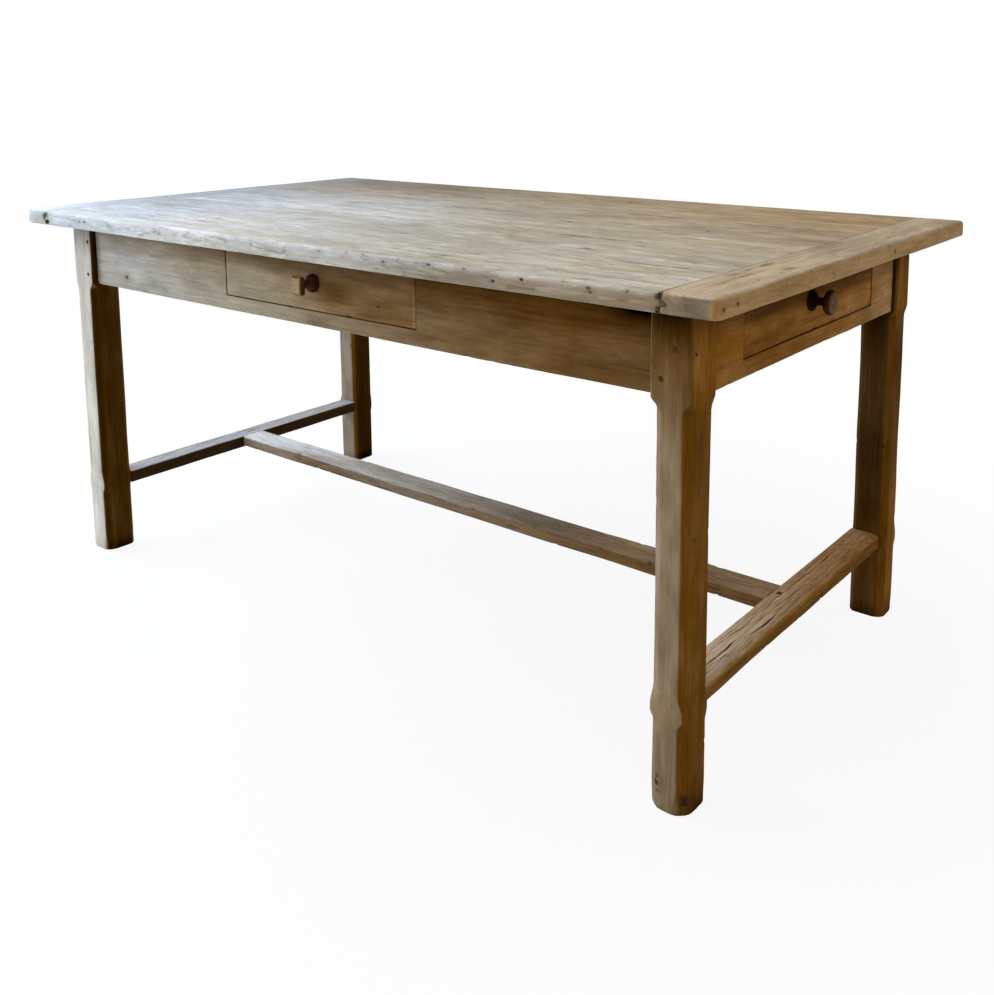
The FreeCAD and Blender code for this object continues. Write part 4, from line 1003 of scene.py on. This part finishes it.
def build_side_rail(name, side):
    """A worn rail between two legs, with long open cracks in its top."""
    along = stations(-LEG_IN_Y, LEG_IN_Y, 0.005)
    seed = 61 + side
    inner, outer = [side * x for x in SIDE_STRETCHER_X]
    top = STRETCHER_TOP - 0.0006 * (1 + wave(along, 0.12, seed))
    under = SIDE_STRETCHER_LOW + SKIN_GAP
    out = outer - side * 0.0012 * (1 + wave(along, 0.1, seed + 1))
    cracks = []
    for number, (offset, width, depth, start, end) in zip((3, 5, 7), RAIL_CRACKS):
        # A crack wanders and is deepest between its ends.
        open_share = np.clip((along - start) / 0.04, 0, 1) * np.clip((end - along) / 0.04, 0, 1)
        open_share = open_share * np.clip(0.55 + 0.9 * wave(along, 0.035, seed + number), 0, 1.3)
        middle = outer - side * (offset + 0.004 * wave(along, 0.11, seed + number + 20)
                                 + 0.0024 * wave(along, 0.028, seed + number + 40))
        half = side * width / 2 * np.maximum(open_share, 0.05)
        cracks += [(middle + half, top), (middle, top - depth * open_share), (middle - half, top)]
    corners = polygon(along, [(inner, under), (out, under), (out, top)] + cracks + [(inner, top)])
    outer_ease = 0.0115 * (1 + 0.12 * wave(along, 0.08, seed + 9))
    setbacks = per_station(along, 0.0025, 0.0025, outer_ease, *[0.0002] * len(cracks), 0.002)
    loft("side_rail_" + name, "y", along, corners, setbacks, (7, 4, 1, 0, 0, 1, 0, 0, 1, 0, 0, 2, 3),
         "stretcher", "stretcher_" + name, lambda s: side_rail_fade_and_light(s, side),
         lambda s: side_rail_tone(s, side), seed, arc=6, worn=(1, 2), rough=0.0006, chips=10)


# Painted light and shade on the centre rail: its top and back face are lit and faded, less so towards the
# right, and its front face darker.
def centre_rail_fade_and_light(s):
    return ((0.45 + 0.55 * ramp(s.to_z, 0.2, 0.8) + 0.3 * ramp(s.to_y, 0.5, 0.9))
            * (1 - 0.55 * ramp(s.x, -0.05, 0.4)))


def centre_rail_tone(s):
    top = (0.22 + 0.26 * ramp(s.x, 0.0, -0.5) - 0.38 * hump(s.x, 0.21, 0.13) + 0.24 * hump(s.x, 0.42, 0.06)
           + 0.08 * hump(s.x, -0.14, 0.1) + 0.2 * ramp(s.x, 0.55, 0.66))
    return top * ramp(s.to_z, 0.3, 0.8) - 0.4 * ramp(-s.to_y, 0.3, 0.8)


def build_centre_rail():
    along = stations(-LEG_IN_X, LEG_IN_X, 0.006)
    corners = rectangle(along, -CENTRE_STRETCHER_HALF + 0.0008 * wave(along, 0.15, 71),
                        CENTRE_STRETCHER_HALF - 0.0008, CENTRE_STRETCHER_LOW + SKIN_GAP,
                        STRETCHER_TOP - 0.0005 * (1 + wave(along, 0.2, 72)))
    ease = 0.0055 * (1 + 0.3 * wave(along, 0.1, 73))
    loft("centre_rail", "x", along, corners, per_station(along, 0.0025, 0.0025, ease, ease), (8, 5, 12, 5),
         "stretcher", "stretcher_centre", centre_rail_fade_and_light, centre_rail_tone, 74, arc=5, rough=0.0006,
         wear=0.0007, chips=40, chip_depth=0.002, chip_corners=[2, 3, 0])


# Knobs and peg heads

SQUARE_CUT, ROUND_CUT_SHARE = 0.0022, 0.5858
SQUARE_EASE, ROUND_EASE_SHARE = 0.0009, 0.4


def build_knob(name, node, body, axis, centre, profile, fade_and_light, tone):
    """A knob along an axis. profile: place, half width, half height and how round it is, 1 for a disc."""
    rows = []
    for a, b in zip(profile, profile[1:]):
        steps = max(int(abs(b[0] - a[0]) / 0.0012), 1)
        rows += [[p + (q - p) * k / steps for p, q in zip(a, b)] for k in range(steps)]
    along, wide, high, roundness = np.array(rows + [profile[-1]]).T
    cut = SQUARE_CUT + roundness * (ROUND_CUT_SHARE * wide - SQUARE_CUT)
    ease = SQUARE_EASE + roundness * (ROUND_EASE_SHARE * wide - SQUARE_EASE)
    ring = [(-wide, -high + cut), (-wide + cut, -high), (wide - cut, -high), (wide, -high + cut),
            (wide, high - cut), (wide - cut, high), (-wide + cut, high), (-wide, high - cut)]
    corners = polygon(along, [(centre[0] + v, centre[1] + w) for v, w in ring])
    loft(name, axis, along, corners, per_station(along, *[ease] * 8), (1, 5) * 4, "knob", node, fade_and_light, tone,
         len(name), body, arc=4, worn=(), rough=0.00025)


# Painted light and shade on the square knob: the front and top of its head are lit and faded, the neck and
# rose behind it darker.
def square_knob_light(s):
    return np.maximum(ramp(-s.to_y, 0.6, 0.9), 0.8 * ramp(s.to_z, 0.7, 0.95)) * ramp(s.y, -0.418, -0.4205)


def square_knob_tone(s):
    return (0.1 - 0.75 * ramp(s.y, -0.4205, -0.418) + 0.45 * ramp(s.y, -0.418, -0.414)
            - 0.25 * ramp(s.y, -0.404, -0.398))


# Painted light and shade on the mushroom knob: its face is lit and lighter, its neck darker.
def mushroom_knob_light(s):
    return 0.45 * ramp(s.to_x, 0.6, 0.95) * ramp(s.x, 0.776, 0.783)


def mushroom_knob_tone(s):
    return -0.3 - 0.4 * ramp(s.x, 0.77, 0.765) + 0.55 * ramp(s.to_x, 0.5, 0.9) * ramp(s.x, 0.772, 0.778)


PEG_SIDES = 18
# From a peg's buried end to its middle: share of the radius, height over the wood
PEG_RINGS = ((1.0, -0.003), (1.0, -0.0001), (0.92, 0.0003), (0.55, 0.0005), (0.2, 0.0004))


def build_peg_heads(name, node, places):
    """The visible ends of pegs, a little proud and not quite round."""
    vertices, faces = [], []
    for place, axis, radius in places:
        seed = abs(place[0] * 7919 + place[1] * 104729 + place[2] * 1299709)
        draw = np.random.default_rng(int(seed) % 99991)
        across = [Vector(v) for v in np.eye(3).tolist() if not np.dot(v, axis)]
        start = len(vertices)
        turns = np.arange(PEG_SIDES) * 2 * math.pi / PEG_SIDES
        wobble = 1 + 0.07 * np.sin(2 * turns + draw.uniform(0, 6))
        wobble = wobble + 0.05 * np.sin(3 * turns + draw.uniform(0, 6))
        wobble = wobble + 0.02 * draw.uniform(-1, 1, PEG_SIDES)
        for share, rise in PEG_RINGS:
            for turn, reach in zip(turns, radius * share * wobble):
                offset = (across[0] * math.cos(turn) + across[1] * math.sin(turn)) * reach
                lift = Vector(axis) * (rise + 0.0001 * draw.uniform(-1, 1))
                vertices.append(tuple(Vector(place) + offset + lift))
        for row in range(len(PEG_RINGS) - 1):
            for k in range(PEG_SIDES):
                a = start + row * PEG_SIDES + k
                b = start + row * PEG_SIDES + (k + 1) % PEG_SIDES
                faces.append((a, b, b + PEG_SIDES, a + PEG_SIDES))
        faces.append([start + (len(PEG_RINGS) - 1) * PEG_SIDES + k for k in range(PEG_SIDES)])
        faces.append([start + k for k in reversed(range(PEG_SIDES))])
    mesh = bpy.data.meshes.new(name)
    mesh.from_pydata(vertices, [], faces)
    for face in mesh.polygons:
        face.use_smooth = len(face.vertices) == 4
    dress(name, mesh, "peg", "frame", node)


# The table's pieces

# Legs: place, sides, seed, how wide the chamfers are from the front left corner round to the back left one
LEGS = (("front_right", 1, -1, 21, (0.0185, 0.015, 0.0115, 0.007)),
        ("front_left", -1, -1, 22, (0.0075, 0.012, 0.007, 0.0155)),
        ("back_right", 1, 1, 23, (0.007, 0.0115, 0.015, 0.0185)),
        ("back_left", -1, 1, 24, (0.0155, 0.007, 0.006, 0.0075)))
# The square knob: place, half width, half height, how round it is
SQUARE_KNOB = ((-0.431, 0.0108, 0.014, 0), (-0.4298, 0.0122, 0.0155, 0), (-0.4286, 0.013, 0.0162, 0),
               (-0.4212, 0.013, 0.0162, 0), (-0.4199, 0.012, 0.015, 0), (-0.4195, 0.0085, 0.0085, 1),
               (-0.415, 0.007, 0.007, 1), (-0.41, 0.0068, 0.0068, 1), (-0.4045, 0.0082, 0.0082, 1),
               (-0.4005, 0.0108, 0.0115, 1), (-0.398, 0.013, 0.015, 1), (-0.3955, 0.0138, 0.0164, 1),
               (-0.3905, 0.0138, 0.0164, 1), (-0.3891, 0.0132, 0.0156, 1))
# The mushroom knob is turned: place, radius
MUSHROOM_KNOB = ((0.7481, 0.016), (0.749, 0.0166), (0.7515, 0.0166), (0.7535, 0.0145), (0.755, 0.01),
                 (0.758, 0.0072), (0.764, 0.0062), (0.769, 0.007), (0.771, 0.01), (0.773, 0.0152),
                 (0.776, 0.019), (0.7795, 0.0202), (0.783, 0.0192), (0.7858, 0.0165), (0.7875, 0.0125),
                 (0.7884, 0.008))

build_planks()
build_end_board("end_board_of_the_right", "end_board_right", RIGHT_JOINT, HALF_LENGTH, 0.011, 0.009, 31,
                right_board_fade_and_light, right_board_tone)
build_end_board("end_board_of_the_left", "end_board_left", LEFT_JOINT, -HALF_LENGTH, 0.03, 0.016, 33,
                left_board_fade_and_light, left_board_tone)
for place, side_x, side_y, seed, chamfers in LEGS:
    build_leg(place + "_leg", "leg_" + place, side_x, side_y, seed, chamfers)
build_long_apron("front_rail", "apron_front", -1, 51, FRONT_OPENING)
build_long_apron("back_rail", "apron_back", 1, 52)
build_end_apron("right_rail", "apron_right", 1, 53, END_OPENING)
build_end_apron("left_rail", "apron_left", -1, 54)
build_drawer_front("long_side_drawer_face", "front_drawer_front", "front_drawer", "x", FRONT_OPENING,
                   -LONG_APRON_Y[1], 55, long_drawer_fade_and_light, long_drawer_tone)
build_drawer_front("short_side_drawer_face", "end_drawer_front", "end_drawer", "y", END_OPENING,
                   END_APRON_X[1], 56, short_drawer_fade_and_light, short_drawer_tone)
build_side_rail("right", 1)
build_side_rail("left", -1)
build_centre_rail()
build_knob("square_knob", "front_drawer_knob", "front_drawer", "y", (0.0026, 0.6779), SQUARE_KNOB,
           square_knob_light, square_knob_tone)
build_knob("mushroom_knob", "end_drawer_knob", "end_drawer", "x", (-0.019, 0.6774),
           [(x, radius, radius, 1) for x, radius in MUSHROOM_KNOB], mushroom_knob_light, mushroom_knob_tone)
build_peg_heads("leg_peg_heads", "leg_pegs", [((x, side * LEG_PEG_Y, z), (0, side, 0), PEG_RADIUS)
                                              for x, z in LEG_PEGS for side in (-1, 1)])
build_peg_heads("top_peg_heads", "end_board_pegs", [((x, y, TOP_PEG_Z), (0, 0, 1), TOP_PEG_RADIUS)
                                                    for x in TOP_PEG_X for y in TOP_PEG_Y])
build_peg_heads("rail_peg_heads", "stretcher_pegs", [((x, 0, RAIL_PEG_Z), (0, 0, 1), PEG_RADIUS)
                                                     for x in RAIL_PEG_X])


# Camera, fitted to the photo's straight edges

RIGHT = (0.77834424, 0.62780141, -0.00675523)
DOWN = (0.08763381, -0.11928946, -0.9889845)
AHEAD = (-0.62169169, 0.7691784, -0.14786489)
PLACE = (1.448549, -1.636628, 1.019066)

camera = bpy.data.objects.new("camera", bpy.data.cameras.new("camera"))
bpy.context.scene.collection.objects.link(camera)
camera.matrix_world = Matrix([(RIGHT[i], -DOWN[i], -AHEAD[i], PLACE[i]) for i in range(3)] + [(0, 0, 0, 1)])
camera.data.sensor_fit = "HORIZONTAL"
camera.data.sensor_width = 36.0
camera.data.lens = 39.898
camera.data.shift_x = -0.01324
camera.data.shift_y = -0.2519
bpy.context.scene.camera = camera
bpy.context.scene.view_settings.view_transform = "Standard"


# Floor, background and light

def build_floor():
    """A wide pale floor that turns into the white background away from the table."""
    size = 14.0
    mesh = bpy.data.meshes.new("floor")
    mesh.from_pydata([(size * x, size * y, 0) for x, y in TURNS], [], [(0, 1, 2, 3)])
    floor = bpy.data.objects.new("floor", mesh)
    bpy.context.scene.collection.objects.link(floor)
    s = Tree(bpy.data.materials.new("floor"))
    far = s.vector("LENGTH", s.place(), output="Value")
    seen = s.value("ShaderNodeLightPath", output="Is Camera Ray")
    matt = s.value("ShaderNodeBsdfDiffuse", {"Color": (0.9, 0.9, 0.9)})
    glow = s.value("ShaderNodeEmission", {"Color": (1, 1, 1), "Strength": 1.0})
    share = seen * s.range(far, 0.6, 1.8, 0.9, 1.0)
    mesh.materials.append(s.finish(s.value("ShaderNodeMixShader", {0: share, 1: matt, 2: glow})))


def build_world(colour, strength):
    """White where it is seen, and a soft warm light on the table."""
    world = bpy.data.worlds.new("studio")
    bpy.context.scene.world = world
    s = Tree(world, "ShaderNodeOutputWorld")
    path = s.node("ShaderNodeLightPath").outputs
    seen = Value(s, path["Is Camera Ray"]).then("MAXIMUM", Value(s, path["Is Transmission Ray"]))
    soft = s.value("ShaderNodeBackground", {0: colour, 1: strength})
    white = s.value("ShaderNodeBackground", {0: (1, 1, 1), 1: 1.0})
    s.finish(s.value("ShaderNodeMixShader", {0: seen, 1: soft, 2: white}))


def add_softbox(name, place, target, size, power, colour):
    data = bpy.data.lights.new(name, "AREA")
    data.shape = "RECTANGLE"
    data.size, data.size_y = size
    data.energy = power
    data.color = colour
    lamp = bpy.data.objects.new(name, data)
    bpy.context.scene.collection.objects.link(lamp)
    lamp.location = place
    lamp.rotation_mode = "QUATERNION"
    lamp.rotation_quaternion = (Vector(target) - Vector(place)).to_track_quat("-Z", "Y")


build_floor()
build_world((1.0, 0.94, 0.84), 0.4)
add_softbox("window", (-2.1, -0.7, 1.25), (0.0, -0.05, 0.6), (2.6, 1.9), 90.0, (0.74, 0.88, 1.0))
add_softbox("sky", (-2.9, 1.5, 1.35), (-0.4, 0.0, 0.76), (2.2, 1.4), 9.0, (0.45, 0.66, 1.0))
add_softbox("overhead", (-0.7, -0.3, 2.4), (0.0, 0.0, 0.6), (2.4, 2.0), 20.0, (0.9, 0.95, 1.0))
